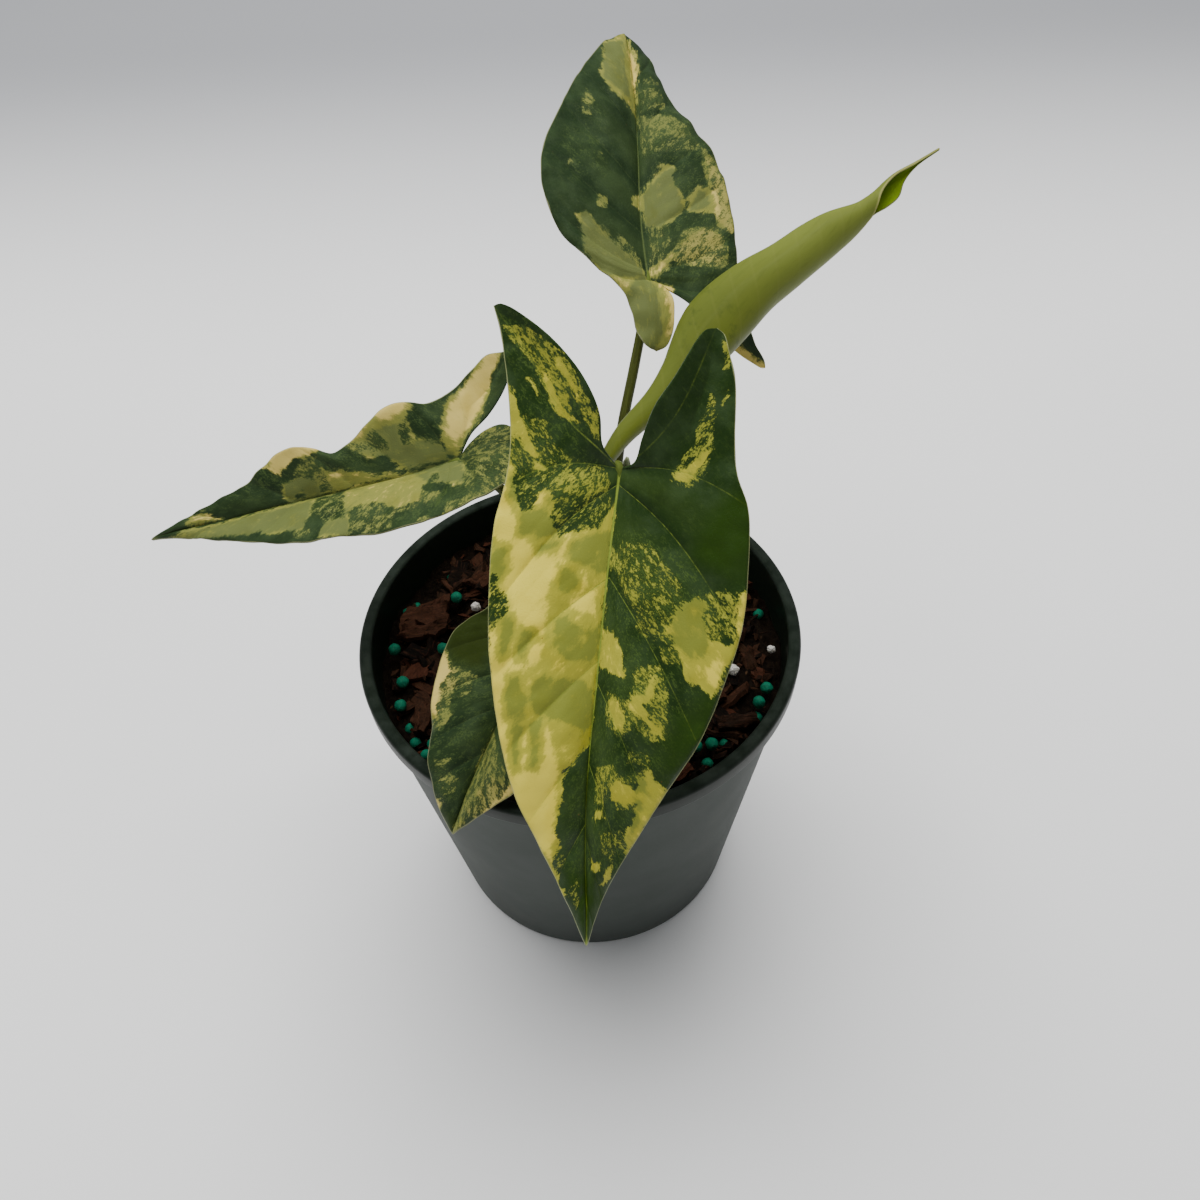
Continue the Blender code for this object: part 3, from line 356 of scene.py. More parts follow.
# Variegation. Each mark is a kind and a closed outline in the leaf's own plane, and later
# marks lie over earlier ones. "dark" and "clear" are solid deep green and tissue without it;
# "fleck" is deep green broken by fine clear flecks, "spray" is the two about half and half,
# and "dust" is clear tissue with fine green specks. "haze" is deep green dusted with a paler
# green, and "fresh" is a brighter one. In clear tissue "cream" and "olive" set the paler and
# the greener parts.
MARKS = {
    "front_leaf": [
        ("clear", [(24.5, 4.5), (20.5, 5.5), (18.5, 9.5), (16.4, 9), (16, 5.5), (12.6, 5.5), (12, 8.5),
            (12.6, 10), (11, 14), (8.4, 13.2), (6, 12.2), (3.2, 11.8), (2.3, 9.5), (0.5, 6.8), (0.5, 14),
            (1, 22), (1.5, 41), (1.9, 54.8), (4.6, 57), (6.3, 60), (6.6, 64), (7.1, 68), (7.2, 72),
            (6.8, 75), (7.3, 78), (6.2, 81), (4.5, 86), (12, 82), (30, 60), (30, 4)]),
        ("fleck", [(24, -9), (15, -9), (8, -2), (2, 0), (2, 4), (12, 6), (17, 3), (24, 5)]),
        ("clear", [(24.5, -16), (22.2, -14), (20.8, -10), (18.6, -6.5), (17, -3), (15.4, -1.2),
            (16.5, -0.4), (19, -1.8), (20.4, -5), (21.6, -2), (20.6, 1.5), (20.2, 5), (24, 5.5)]),
        ("clear", [(17.8, 0.4), (15.2, 0.1), (13.8, 1.9), (16.4, 1.9)]),
        ("spray", [(22.4, -3.5), (20.6, -5.5), (19.6, -2), (20.6, 0.5), (21.8, 0)]),
        ("spray", [(13.2, 2.2), (8.5, 0.9), (3.2, 1.2), (1.2, 2.6), (2.2, 5.6), (5.5, 7.2), (11, 5.8),
            (13.6, 4.6)]),
        ("fleck", [(12.4, 6.6), (9.4, 6), (5.4, 6.6), (3.2, 4.6), (1, 5.6), (1.4, 8), (3, 10),
            (3.5, 11.8), (6.5, 12.3), (8.3, 11.4), (9.5, 13), (11, 14), (11.2, 12.2), (12.6, 10),
            (11.8, 8.8)]),
        ("fleck", [(20, 2), (14.8, 2.4), (15.8, 5), (16.2, 9), (18.2, 10), (18.8, 7.4), (20.6, 5)]),
        ("fleck", [(24, 21.8), (22.2, 22.3), (21.5, 25), (20.1, 26.2), (18.9, 29), (20.4, 31),
            (22, 33.6), (24, 34)]),
        ("dark", [(24, 33), (22.9, 36), (22.2, 42), (23, 42)]),
        ("spray", [(26, -27), (20, -27), (12, -22), (6, -12), (4, -4), (8, -7), (13, -10), (18, -18),
            (24, -24)]),
        ("dark", [(27, -31), (20.5, -29), (13.8, -24.6), (9, -19.4), (11, -19.6), (16.5, -24),
            (22.5, -27.6)]),
        ("dark", [(24.6, -24), (22.7, -21), (21.2, -17.8), (19.7, -14.4), (18.2, -11.6), (19.8, -10.8),
            (21.6, -12.7), (23.6, -17)]),
        ("dark", [(14.5, -9.8), (10.4, -7.8), (4.4, -2.6), (4, -1.2), (9, -1.6), (13, -3.6),
            (14.6, -6.5)]),
        ("dark", [(11.4, -13), (9.6, -8.6), (5.6, -4.2), (5.6, -6.6), (8, -10.6), (9.6, -13.4)]),
        ("clear", [(17.4, -19), (14.6, -16.8), (13, -13.4), (11.4, -10.8), (9.2, -8), (11, -8.4),
            (13.4, -10.2), (15.4, -13.6)]),
        ("clear", [(15.4, -21.6), (12.8, -20.6), (10.2, -17), (8.2, -12.4), (7.4, -10), (9.2, -12.6),
            (11.8, -16.4), (14.2, -19)]),
        ("clear", [(19.2, -16.6), (17.8, -15.4), (16.4, -12.6), (17.4, -12.8)]),
        ("dust", [(4.6, -12), (4, -4.6), (5.4, -6), (6, -10)]),
        ("fleck", [(-1, 14), (-7, 14), (-14, 22), (-16, 29), (-12, 34), (-6, 33), (-2, 28), (-0.5, 20)]),
        ("dark", [(0.6, 20.5), (-1.6, 22.6), (-4.4, 27), (-6, 31), (-2.6, 29.6), (0.8, 30.5)]),
        ("dust", [(0.4, 15.8), (-1, 17.4), (-2, 19.6), (0.4, 20)]),
        ("spray", [(-1.6, 21.8), (-3.8, 23.4), (-6.6, 26.4), (-4.6, 26.6), (-2.4, 24.4)]),
        ("clear", [(1.4, 32.2), (-0.6, 32.2), (-2.2, 34), (-3.2, 36.6), (-4, 39.4), (-4.8, 41.2),
            (-2, 40.4), (0, 39.6), (1.4, 39.6)]),
        ("clear", [(-14.2, 25.2), (-17.3, 24.7), (-18.6, 27.5), (-18.9, 30), (-20, 32), (-23, 33),
            (-24.4, 33.6), (-24.9, 30), (-24.5, 24.6), (-25.3, 22.6), (-28, 21.4), (-28, 32),
            (-25.8, 35.6), (-24, 38), (-22, 42.6), (-20.8, 43.6), (-18, 41.6), (-15.3, 40.2),
            (-14.9, 38), (-13.5, 36), (-12.8, 33), (-11.2, 31.8), (-10.3, 30.6), (-12, 30.2),
            (-12.8, 28), (-13.8, 26.8)]),
        ("spray", [(-17, 24), (-21.5, 22), (-24.4, 23), (-24.4, 31.4), (-20.4, 32.2), (-18.8, 30),
            (-18.4, 26.6)]),
        ("spray", [(-10, 34), (-13.4, 35), (-14.4, 37.4), (-11, 38)]),
        ("fleck", [(-25.6, 35.4), (-24.4, 36), (-22.6, 40.4), (-22, 43.4), (-24, 42)]),
        ("dark", [(1, 40.6), (-1.8, 40.4), (-4.2, 41.4), (-5.2, 43.6), (-3, 45), (-1, 43.4)]),
        ("spray", [(-0.6, 43.4), (-5.8, 45.6), (-6.4, 50.4), (-4, 53.4), (-0.8, 50.4)]),
        ("clear", [(-0.9, 45), (-3.2, 45.4), (-4.8, 48.6), (-4.4, 51), (-2.4, 50.8), (-1.2, 48)]),
        ("spray", [(-6, 38.2), (-11, 37.8), (-12.8, 43), (-13.4, 52.4), (-9, 53.4), (-4.8, 48)]),
        ("clear", [(-8.6, 39.4), (-10, 41), (-10, 44.6), (-8.4, 45.8), (-9.4, 48.4), (-12, 50.2),
            (-12.2, 52), (-10, 51.6), (-7.6, 48.6), (-5.2, 46.6), (-5.4, 44.2), (-8, 43.4),
            (-8.4, 41.4)]),
        ("spray", [(0.6, 58.4), (-3, 57.4), (-4.4, 60), (-2, 62), (-1.8, 66.6), (0.6, 66)]),
        ("spray", [(-4, 60.4), (-9.6, 57.8), (-10, 62), (-8, 66.6), (-4, 67)]),
        ("fleck", [(-5, 54.6), (-10.6, 55), (-10, 58), (-5, 58)]),
        ("clear", [(-9.6, 58.2), (-11.2, 60), (-12.8, 62), (-14.4, 63), (-12, 67), (-9, 73),
            (-6.4, 76.4), (-6, 74), (-5, 72.2), (-6, 70.6), (-7.5, 69.4), (-7.3, 67), (-7.8, 65.4),
            (-5.4, 66), (-2.8, 64.8), (-2.2, 62.4), (-3.4, 60.8), (-5.6, 61.2), (-8.8, 60.4)]),
        ("dark", [(-6, 61.2), (-7.8, 60.8), (-8.3, 61.8), (-7, 62.5)]),
        ("clear", [(0, 67.2), (-1.2, 66.9), (-1.6, 68.6), (-0.8, 69.4), (0.2, 68.6)]),
        ("fleck", [(-0.6, 71), (-5.4, 70.8), (-6.4, 75), (-4, 77), (-1.4, 76)]),
        ("clear", [(0.2, 77.2), (-1.8, 77.8), (-1.8, 79.6), (-0.4, 79.8)]),
        ("clear", [(-2.4, 80.2), (-3.2, 77.8), (-4.2, 78.4), (-3.3, 81.2), (-2.4, 82.4)]),
        ("fleck", [(5, 76.6), (6.6, 76.4), (7.6, 79.6), (5.4, 80)]),
        ("dust", [(3.4, 81), (2.4, 80.8), (2.4, 83), (3, 83)]),
        ("fleck", [(4.4, 83), (2.4, 82), (1.6, 86), (2.4, 88.6)]),
        ("fleck", [(-16.4, -15.6), (-15.6, -12), (-14, -9.6), (-14.2, -6.4), (-11.6, -3), (-10.2, 1),
            (-10.8, 3), (-14.6, 3.2), (-17, 0.6), (-17.4, -3), (-18.4, -5), (-18, -8.6), (-18.8, -12.2),
            (-17.8, -15)]),
        ("spray", [(-16, -9.6), (-18, -9), (-18, -5), (-14.6, -2.6), (-12, -2.4), (-15, -6)]),
        ("dust", [(-16.4, -15.8), (-17.6, -15.8), (-17.4, -12.8), (-16, -12.8)]),
        ("dust", [(-17.8, -26.8), (-18.4, -23.4), (-18.6, -20.2), (-20.4, -20), (-20.4, -25),
            (-19, -26)]),
        ("spray", [(-20.6, -19), (-19.4, -16.4), (-18.4, -13), (-19.6, -12.6), (-20.8, -15.6)]),
        ("clear", [(-18, -4.8), (-16.2, -4.4), (-13.2, -1.6), (-11.4, 0.2), (-10.2, 2), (-12.6, 2.2),
            (-14.6, 1.6), (-15.2, -0.2), (-17, -2)]),
        ("haze", [(1, 12), (-6, 12), (-14, 16), (-20, 24), (-24, 36), (-20, 52), (-12, 66), (-6, 80),
            (0, 94), (4, 84), (6, 74), (6, 62), (3, 56), (1, 40)]),
        ("haze", [(24, -14), (16, -16), (8, -6), (2, -1), (2, 6), (14, 8), (22, 4)]),
        ("haze", [(28, -30), (20, -29), (8, -14), (4, -4), (12, -6), (22, -16)]),
        ("fresh", [(5.4, 80), (-4.6, 80), (0, 97)]),
        ("fresh", [(-16, 12), (-20, 4), (-30, 0), (-30, 21), (-22, 20), (-14, 17)]),
        ("fresh", [(-13, 48), (-20, 43), (-26, 44), (-13, 66), (-11, 60)]),
        ("cream", [(30, 4), (14, 6), (12.6, 10), (8, 14), (4, 22), (6, 27), (9, 28), (11, 24), (12, 40),
            (17, 42), (9, 52), (7, 60), (7, 80), (30, 60)]),
        ("olive", [(18.8, 9.6), (14, 9.2), (11, 12), (11.6, 14.4), (15, 15.8), (18.8, 14.4)]),
        ("olive", [(9.6, 14.4), (12.6, 15.4), (15.4, 15.6), (15, 18.4), (11.6, 17)]),
        ("olive", [(21.6, 2.6), (18.4, 3), (18.8, 7), (20, 9.4), (21.8, 7)]),
        ("olive", [(8.6, 15), (8.8, 19), (6, 20), (3, 21.4), (0, 20), (0, 12), (3, 12.4)]),
        ("olive", [(10.4, 20), (6.6, 20.6), (6.2, 24), (8, 26.6), (10.2, 27)]),
        ("olive", [(24, 16), (20.4, 17), (20.2, 21), (21.4, 24), (24, 24)]),
        ("olive", [(10.4, 30), (8, 29.2), (5, 32), (1, 30.4), (1, 38), (4, 39), (8, 38.6),
            (10.8, 36.2)]),
        ("olive", [(21, 31), (18.6, 30.4), (18, 34), (19, 37.4), (20.4, 39), (21.2, 36)]),
        ("olive", [(16.8, 32.6), (13.8, 33), (13.4, 34.6), (15.4, 36), (15.4, 39), (17.4, 39),
            (18, 36)]),
        ("olive", [(13.6, 42), (9, 41), (3, 42), (1, 48), (3, 52), (8, 50), (12, 50), (14.4, 48),
            (14.2, 44)]),
        ("olive", [(19, 42), (16.4, 41.4), (16, 44), (14.4, 46), (14.4, 50), (16, 52), (19, 50),
            (19.3, 46)]),
        ("olive", [(17.6, 51), (14.6, 51), (15.5, 55), (15.2, 60), (16.5, 60.6), (17.3, 56)]),
        ("olive", [(14.2, 51), (11.4, 50), (11.2, 57), (12, 60), (13.4, 59.4), (13.8, 55)]),
        ("cream", [(2.4, 23), (10, 26.5), (6, 29.5), (2, 30)]),
        ("cream", [(0.8, 36), (-1.6, 36), (-2.4, 39), (0, 39.2)]),
        ("olive", [(-12, 25), (-19, 24), (-20, 34), (-17, 38), (-12, 33)]),
        ("cream", [(-27, 21), (-24.6, 24), (-24.8, 32), (-27, 32)]),
        ("cream", [(-20, 36), (-24.6, 35), (-22, 43), (-19.6, 41.6), (-18, 39)]),
        ("olive", [(-7.6, 64), (-9.6, 64), (-8.4, 72), (-6.4, 72)]),
        ("olive", [(-6, 60.4), (-9.6, 59.8), (-9.8, 63), (-7.4, 64.4)]),
    ],
    "back_leaf": [
        ("clear", [(0, -1.6), (-6, -4), (-11.5, 0), (-15.3, 5), (-15.4, 9), (-16.9, 13.4), (-14.2, 14.2),
            (-10.6, 11), (-8.1, 8.6), (-4.6, 6), (-1.7, 3.4), (-0.2, 1)]),
        ("clear", [(1, -0.6), (5.6, -1), (6, -12), (2, -20), (-2, -20), (-6, -15), (-6, -8), (-9, -2),
            (-3, 0)]),
        ("spray", [(-1.4, 3.2), (-4.8, 5.6), (-8.2, 8.2), (-6.8, 10.4), (-3.4, 8)]),
        ("dust", [(-12.2, 16), (-9, 15.6), (-8.4, 19.6), (-11.6, 20)]),
        ("spray", [(-18.6, 25.8), (-15.8, 25.8), (-15.8, 27.8), (-18.2, 28)]),
        ("fleck", [(-11.4, 28.4), (-9, 28.6), (-9.2, 31.4), (-11.2, 31.2)]),
        ("fleck", [(-14, 41), (-11, 40.4), (-10, 46), (-12, 50), (-14, 47)]),
        ("clear", [(0.4, 43), (-0.6, 45), (-1.7, 45.7), (-6, 48.9), (-8.2, 53.6), (-7.1, 59.3),
            (-6, 65.7), (-3, 69), (0.4, 74), (1.4, 67), (2, 64.3), (2.4, 59.3), (1.5, 54.3), (1, 48.6)]),
        ("clear", [(0, 0.2), (2.6, 0.4), (4.7, 3.4), (7.6, 7.2), (5.4, 6.6), (2.6, 4.4), (0, 2.4)]),
        ("spray", [(7, 3.4), (12, 3), (17, 2.6), (19.6, 4.6), (20, 9), (18.6, 13), (16, 14.6),
            (11, 13.6), (8, 12), (6.2, 8)]),
        ("dust", [(8, 9), (14, 7.6), (18, 9), (17.6, 12.6), (13, 13.6), (9, 12.6)]),
        ("fleck", [(0.2, 3), (4, 6), (6, 9), (5.6, 13), (0.4, 13.4)]),
        ("clear", [(-2.6, 19), (0, 17.6), (0.2, 13.6), (4, 13.2), (7.4, 15.4), (9.8, 18.4), (8.6, 22.6),
            (7.2, 25.6), (7.7, 29.4), (4.8, 29.6), (2.6, 26), (0.4, 23), (-2.4, 21)]),
        ("clear", [(10.2, 17.6), (13, 17), (17, 17.4), (19, 15), (21.4, 14), (21.6, 24), (19, 31),
            (15.6, 34), (14.8, 30), (15.4, 26), (17, 24), (13.4, 24), (10.6, 21.6)]),
        ("dust", [(16, 14), (21, 12), (21.6, 22), (19.4, 31), (15, 34), (15.4, 28), (17.4, 24),
            (18, 18)]),
        ("dark", [(11, 13.8), (14, 13.4), (17, 13.8), (16.4, 16.6), (12, 16.8)]),
        ("dark", [(9.4, 24.4), (12, 24.4), (14.6, 27), (13.6, 32), (10, 32.6), (8.4, 29.6)]),
        ("dark", [(19.6, 6.6), (22, 7), (21.6, 13), (20, 13.4)]),
        ("fleck", [(0.4, 32), (8, 32.6), (15.6, 34), (14, 38), (7, 38), (0.4, 38)]),
        ("spray", [(0.6, 37.6), (7, 37), (13.6, 37.6), (12, 42), (8, 44.6), (0.8, 43.6)]),
        ("dust", [(3.2, 39.6), (7, 39.6), (7.4, 43.4), (3.6, 43.6)]),
        ("fleck", [(1.6, 45), (8, 45), (7, 55), (3, 57)]),
        ("clear", [(14, -9.6), (21, -14), (26, -17), (30, -17.6), (28, -21), (18, -17), (11, -9.6)]),
        ("haze", [(0, 0), (24, -4), (24, 14), (18, 40), (0, 56)]),
        ("haze", [(-8, 24), (-18, 22), (-20, 32), (-14, 46), (-8, 46)]),
        ("olive", [(-0.5, 0), (-10, -1), (-17, 6), (-16, 15), (-8, 12), (-1, 2)]),
        ("olive", [(-2, 2), (1.4, -2), (1.6, -9), (2.4, -14), (0, -20), (-6, -18), (-7, -6)]),
        ("cream", [(1.6, -1), (6, -1), (6, -12), (3.6, -16), (2.8, -9), (2, -4)]),
        ("olive", [(0, 13), (4, 13), (9.4, 18), (8.6, 23), (7.6, 29.6), (3, 26), (0, 22)]),
        ("olive", [(10, 17), (16, 18), (16.6, 22), (13, 24)]),
        ("cream", [(16.4, 14), (21.6, 12), (21.6, 22), (19, 31), (15, 34), (16, 26)]),
        ("cream", [(7, 3.4), (18, 3), (20, 12), (14, 14), (7, 9)]),
        ("cream", [(0, 0.4), (2.6, 0.6), (7.4, 7.2), (4, 6)]),
        ("olive", [(0, 32), (15, 34), (12, 44), (0, 44)]),
        ("olive", [(-8, 53), (-1, 47), (-1, 68), (-6, 66)]),
        ("cream", [(0.6, 46), (-0.4, 50), (-0.4, 66), (2.4, 64), (2.6, 56)]),
        ("cream", [(14, -9), (26, -16.6), (30, -17), (28, -21), (12, -12)]),
    ],
    "left_leaf": [
        ("fleck", [(-13, -9), (-6, -13), (3, -14), (4, -6), (1, -0.6), (-8, -0.4), (-14, 0)]),
        ("spray", [(-4.2, -10.6), (-2.2, -10.6), (-1.6, -5), (-3.6, -4.4)]),
        ("spray", [(0.8, -12), (3.2, -12), (3.8, -7), (1.6, -6)]),
        ("spray", [(-15, -6), (-11.6, -5), (-11.6, 4), (-15.6, 6)]),
        ("clear", [(0.2, 0.6), (2.4, -1.6), (5, -4.7), (8.3, -8), (12.3, -10), (16.3, -11), (20.3, -15),
            (24, -14.6), (22.4, -11), (19, -8.2), (16.3, -5.6), (13.9, -2.3), (11.7, 0.2), (7, 2),
            (3.7, 2.7), (1, 2)]),
        ("clear", [(0.3, 2), (3.7, 2.8), (4.4, 5), (5.5, 8.2), (10, 8.8), (12.4, 6.8), (16, 9), (16, 14),
            (12.4, 18), (11.4, 21), (8, 24.4), (6.6, 22.4), (4.8, 20), (3.8, 15.4), (2, 13.4),
            (0.8, 14.4), (0.4, 9)]),
        ("fleck", [(4.6, 9), (9.4, 9.4), (9, 11.6), (5, 11.4)]),
        ("spray", [(5, 14.4), (7.4, 14.2), (10.2, 17), (9.4, 19), (8.4, 23.6), (6.4, 21.6), (5, 18.6)]),
        ("clear", [(-0.4, 14), (0.8, 14.6), (0.8, 18), (1.8, 21), (3, 24.6), (3.4, 28), (4.4, 30),
            (3, 32), (4.2, 35), (3.6, 39.5), (1, 41), (-0.3, 39), (-0.5, 30)]),
        ("spray", [(0, 28.8), (3, 29.8), (4.4, 31), (2.6, 32.6), (0, 31.4)]),
        ("dark", [(-0.2, 35.4), (0.9, 35.6), (1, 37.4), (0, 37.6)]),
        ("spray", [(4, 31), (6.6, 30.6), (6.6, 34), (5, 36.4), (4.2, 34)]),
        ("clear", [(7.4, 30), (12, 30), (12, 42), (8, 43.6), (6.5, 41), (5.2, 39.6), (7, 37),
            (6.8, 33)]),
        ("clear", [(0.2, 55), (1.2, 56.4), (2.8, 59), (2.4, 62.6), (1, 63.4), (0.2, 60)]),
        ("clear", [(-7.6, -0.4), (-2.4, -1.6), (-0.4, 0.4), (-0.2, 14), (-0.3, 40), (-0.8, 50),
            (-0.6, 66), (-1.2, 69), (-3.4, 60.6), (-4.6, 56), (-5.6, 52), (-6.2, 47), (-8.2, 44),
            (-8.8, 40), (-9.2, 36), (-5, 34.4), (-4.4, 31), (-9, 31.4), (-12.6, 33), (-14.6, 29),
            (-14, 25), (-8, 25.6), (-6.8, 22), (-7.2, 19.4), (-9, 17.6), (-10.4, 14), (-10, 9.6),
            (-6, 9), (-5, 6.6), (-6, 4), (-8, 2)]),
        ("fleck", [(-5, 4.8), (-2.6, 5), (-2.6, 6.8), (-5, 7)]),
        ("spray", [(-11.6, 4.6), (-8.2, 4.6), (-7.6, 8.6), (-11.4, 9)]),
        ("spray", [(-17, 7), (-13.6, 8), (-14, 12), (-17, 12.6)]),
        ("fleck", [(-15.4, 11), (-10.6, 10.6), (-10.6, 17), (-8, 18), (-7.2, 24.6), (-13, 26),
            (-15.6, 22)]),
        ("dark", [(-14.6, 12), (-11.4, 11.8), (-11.4, 15.8), (-14.4, 16.4)]),
        ("fleck", [(-9.6, 26.8), (-4, 26.4), (-0.6, 26.8), (-0.5, 33), (-4.6, 34.4), (-8.8, 31.4)]),
        ("spray", [(-12.4, 34.6), (-9.8, 34.8), (-9.4, 38), (-11.6, 38.6)]),
        ("haze", [(-16, -10), (4, -12), (0, 0), (-8, 12), (-10, 40), (-14, 30)]),
        ("cream", [(2.6, 0), (5, -4.7), (12, -10), (20, -15), (24, -14), (19, -8), (12, 0), (5, 2.4)]),
        ("cream", [(12.6, 6.6), (16, 9), (16, 14), (12.4, 17), (10.2, 14.6), (9.8, 12), (10, 9.6)]),
        ("cream", [(9, 18.6), (12, 18.6), (9, 24), (8, 22.6)]),
        ("cream", [(7, 29), (12, 29), (12, 44), (5, 41)]),
        ("cream", [(1.2, 25.6), (3.4, 25.6), (3.6, 30), (1.4, 29.6)]),
        ("cream", [(0, 54), (3, 58), (1, 64)]),
        ("olive", [(-8, -1), (0, -1), (5, 4), (5.4, 9), (9.6, 10), (10, 18), (6, 22), (2, 13), (-5, 8)]),
        ("olive", [(-15, 25), (-8, 26), (-4, 31), (-12, 34)]),
        ("olive", [(-10, 35), (-1, 34), (-1, 69), (-4, 66)]),
        ("olive", [(-1, 31), (4, 32), (4, 40), (-1, 40)]),
        ("haze", [(4, -6), (22, -18), (24, -8), (14, 0), (16, 12), (10, 24), (12, 36), (6, 50), (2, 62),
            (1, 30)]),
    ],
    "small_leaf": [
        ("fleck", [(8, 14.4), (14, 14), (15, 17), (13, 23), (9.6, 23), (10.4, 29), (14.6, 30), (16, 24),
            (8, 20)]),
        ("spray", [(19.4, 11.6), (16.4, 13.6), (12, 15.6), (9.4, 16.6), (13, 18.4), (12.6, 21),
            (9.6, 24), (10.4, 28.6), (14.4, 29.6), (19, 20)]),
        ("clear", [(19.8, 11), (16.8, 14), (14.6, 16.4), (15.6, 19.6), (14.4, 23), (12.8, 26.4),
            (14.6, 29), (17.8, 24), (19.8, 18)]),
        ("spray", [(1.2, 23), (-1, 25), (-7, 31), (-8, 36), (-4, 42), (0.6, 46), (1, 38), (1.6, 30)]),
        ("clear", [(-8.4, 31.6), (-12, 32), (-9, 38), (-5, 43.4), (-3, 44), (-4.6, 40), (-7, 36.4)]),
        ("dust", [(9.6, 35), (6.4, 33), (5, 32.4), (6.4, 34.6), (8.4, 36)]),
        ("clear", [(7.4, 40.6), (5.6, 41.2), (4.4, 43), (5, 45), (8, 44)]),
        ("clear", [(-0.4, 43.6), (-1.4, 44), (0, 48.5), (0.6, 46)]),
        ("fleck", [(2, 36), (10, 34), (7, 42), (3, 42)]),
        ("haze", [(0, 14), (18, 10), (16, 30), (0, 48), (-10, 30)]),
        ("fresh", [(8, 13.6), (7, 8), (10, -6), (20, 0), (20, 12), (16, 14.6), (11, 14.6)]),
        ("fresh", [(0, 44), (4, 44.6), (0.6, 48)]),
        ("cream", [(19.4, 11), (12, 16), (12, 29), (19, 24)]),
        ("cream", [(-3, 32), (-12, 32), (-4, 44), (-1, 42)]),
        ("cream", [(8, 40), (4, 42), (5, 46)]),
    ],
}


def linear(colour):
    """An sRGB colour out of 255 as linear light with alpha."""
    shares = [part / 255 for part in colour]
    light = [s / 12.92 if s <= 0.04045 else ((s + 0.055) / 1.055) ** 2.4 for s in shares]
    return (*light, 1.0)


class Paint:
    """A material's nodes, made in the order that light and colour pass through them."""

    def __init__(self, name):
        self.material = bpy.data.materials.new(name)
        self.material.use_nodes = True
        self.tree = self.material.node_tree
        self.shader = self.tree.nodes["Principled BSDF"]

    def feed(self, socket, value):
        if isinstance(value, bpy.types.NodeSocket):
            self.tree.links.new(value, socket)
        else:
            socket.default_value = value

    def node(self, kind, inputs, **settings):
        made = self.tree.nodes.new(kind)
        for key, value in settings.items():
            setattr(made, key, value)
        for key, value in inputs.items():
            self.feed(made.inputs[key], value)
        return made

    def attribute(self, name, output="Fac"):
        return self.node("ShaderNodeAttribute", {}, attribute_name=name).outputs[output]

    def here(self):
        """The point's place in the object's own space, in millimetres."""
        place = self.node("ShaderNodeTexCoord", {}).outputs["Object"]
        return self.stretch(place, (1 / MM, 1 / MM, 1 / MM))

    def second_part(self, vector):
        return self.node("ShaderNodeSeparateXYZ", {0: vector}).outputs[1]

    def stretch(self, vector, scale):
        return self.node("ShaderNodeVectorMath", {0: vector, 1: scale},
                         operation="MULTIPLY").outputs[0]

    def math(self, operation, *values):
        return self.node("ShaderNodeMath", dict(enumerate(values)),
                         operation=operation).outputs[0]

    def times(self, first, second):
        return self.math("MULTIPLY", first, second)

    def scaled(self, value, by, plus):
        return self.math("MULTIPLY_ADD", value, by, plus)

    def centred(self, value):
        return self.math("SUBTRACT", value, 0.5)

    def larger(self, first, second):
        return self.math("MAXIMUM", first, second)

    def size_of(self, value):
        return self.math("ABSOLUTE", value)

    def to_line(self, phase):
        """How far the phase is from a whole number, where a vein runs."""
        return self.math("PINGPONG", phase, 0.5)

    def noise(self, vector, scale, detail, rough, draw=None, distortion=0.0):
        """Noise that a draw below one in some direction stretches out that way."""
        inputs = {"Vector": self.stretch(vector, draw) if draw else vector, "Scale": scale,
                  "Detail": detail, "Roughness": rough, "Distortion": distortion}
        return self.node("ShaderNodeTexNoise", inputs).outputs[0]

    def cells(self, vector, scale, feature="F1", output="Distance"):
        return self.node("ShaderNodeTexVoronoi", {"Vector": vector, "Scale": scale},
                         feature=feature).outputs[output]

    def rise(self, value, low, high, start=0.0, end=1.0):
        """A smooth step from start to end as the value goes from low to high."""
        inputs = {0: value, 1: low, 2: high, 3: start, 4: end}
        return self.node("ShaderNodeMapRange", inputs,
                         interpolation_type="SMOOTHSTEP").outputs[0]

    def fall(self, value, low, high, start=1.0):
        return self.rise(value, low, high, start, 0.0)

    def mix(self, share, first, second, **settings):
        inputs = {0: share, 6: self.colour(first), 7: self.colour(second)}
        return self.node("ShaderNodeMix", inputs, data_type="RGBA", **settings).outputs[2]

    def shade(self, share, colour, tint):
        return self.mix(share, colour, tint, blend_type="MULTIPLY")

    def tint(self, colour, tint, value, low, high, share=1.0):
        """The colour, turned to the tint by up to a share as the value rises."""
        return self.mix(self.rise(value, low, high, 0.0, share), colour, tint)

    def blend(self, share, first, second):
        return self.node("ShaderNodeMix", {0: share, 2: first, 3: second}).outputs[0]

    @staticmethod
    def colour(value):
        return value if isinstance(value, bpy.types.NodeSocket) else linear(value)

    def bump(self, height, distance, strength):
        inputs = {"Height": height, "Distance": distance * MM, "Strength": strength}
        made = self.node("ShaderNodeBump", inputs)
        self.tree.links.new(made.outputs[0], self.shader.inputs["Normal"])

    def finish(self, colour, roughness, specular):
        self.feed(self.shader.inputs["Base Color"], colour)
        self.feed(self.shader.inputs["Roughness"], roughness)
        self.shader.inputs["Specular IOR Level"].default_value = specular
        return self.material


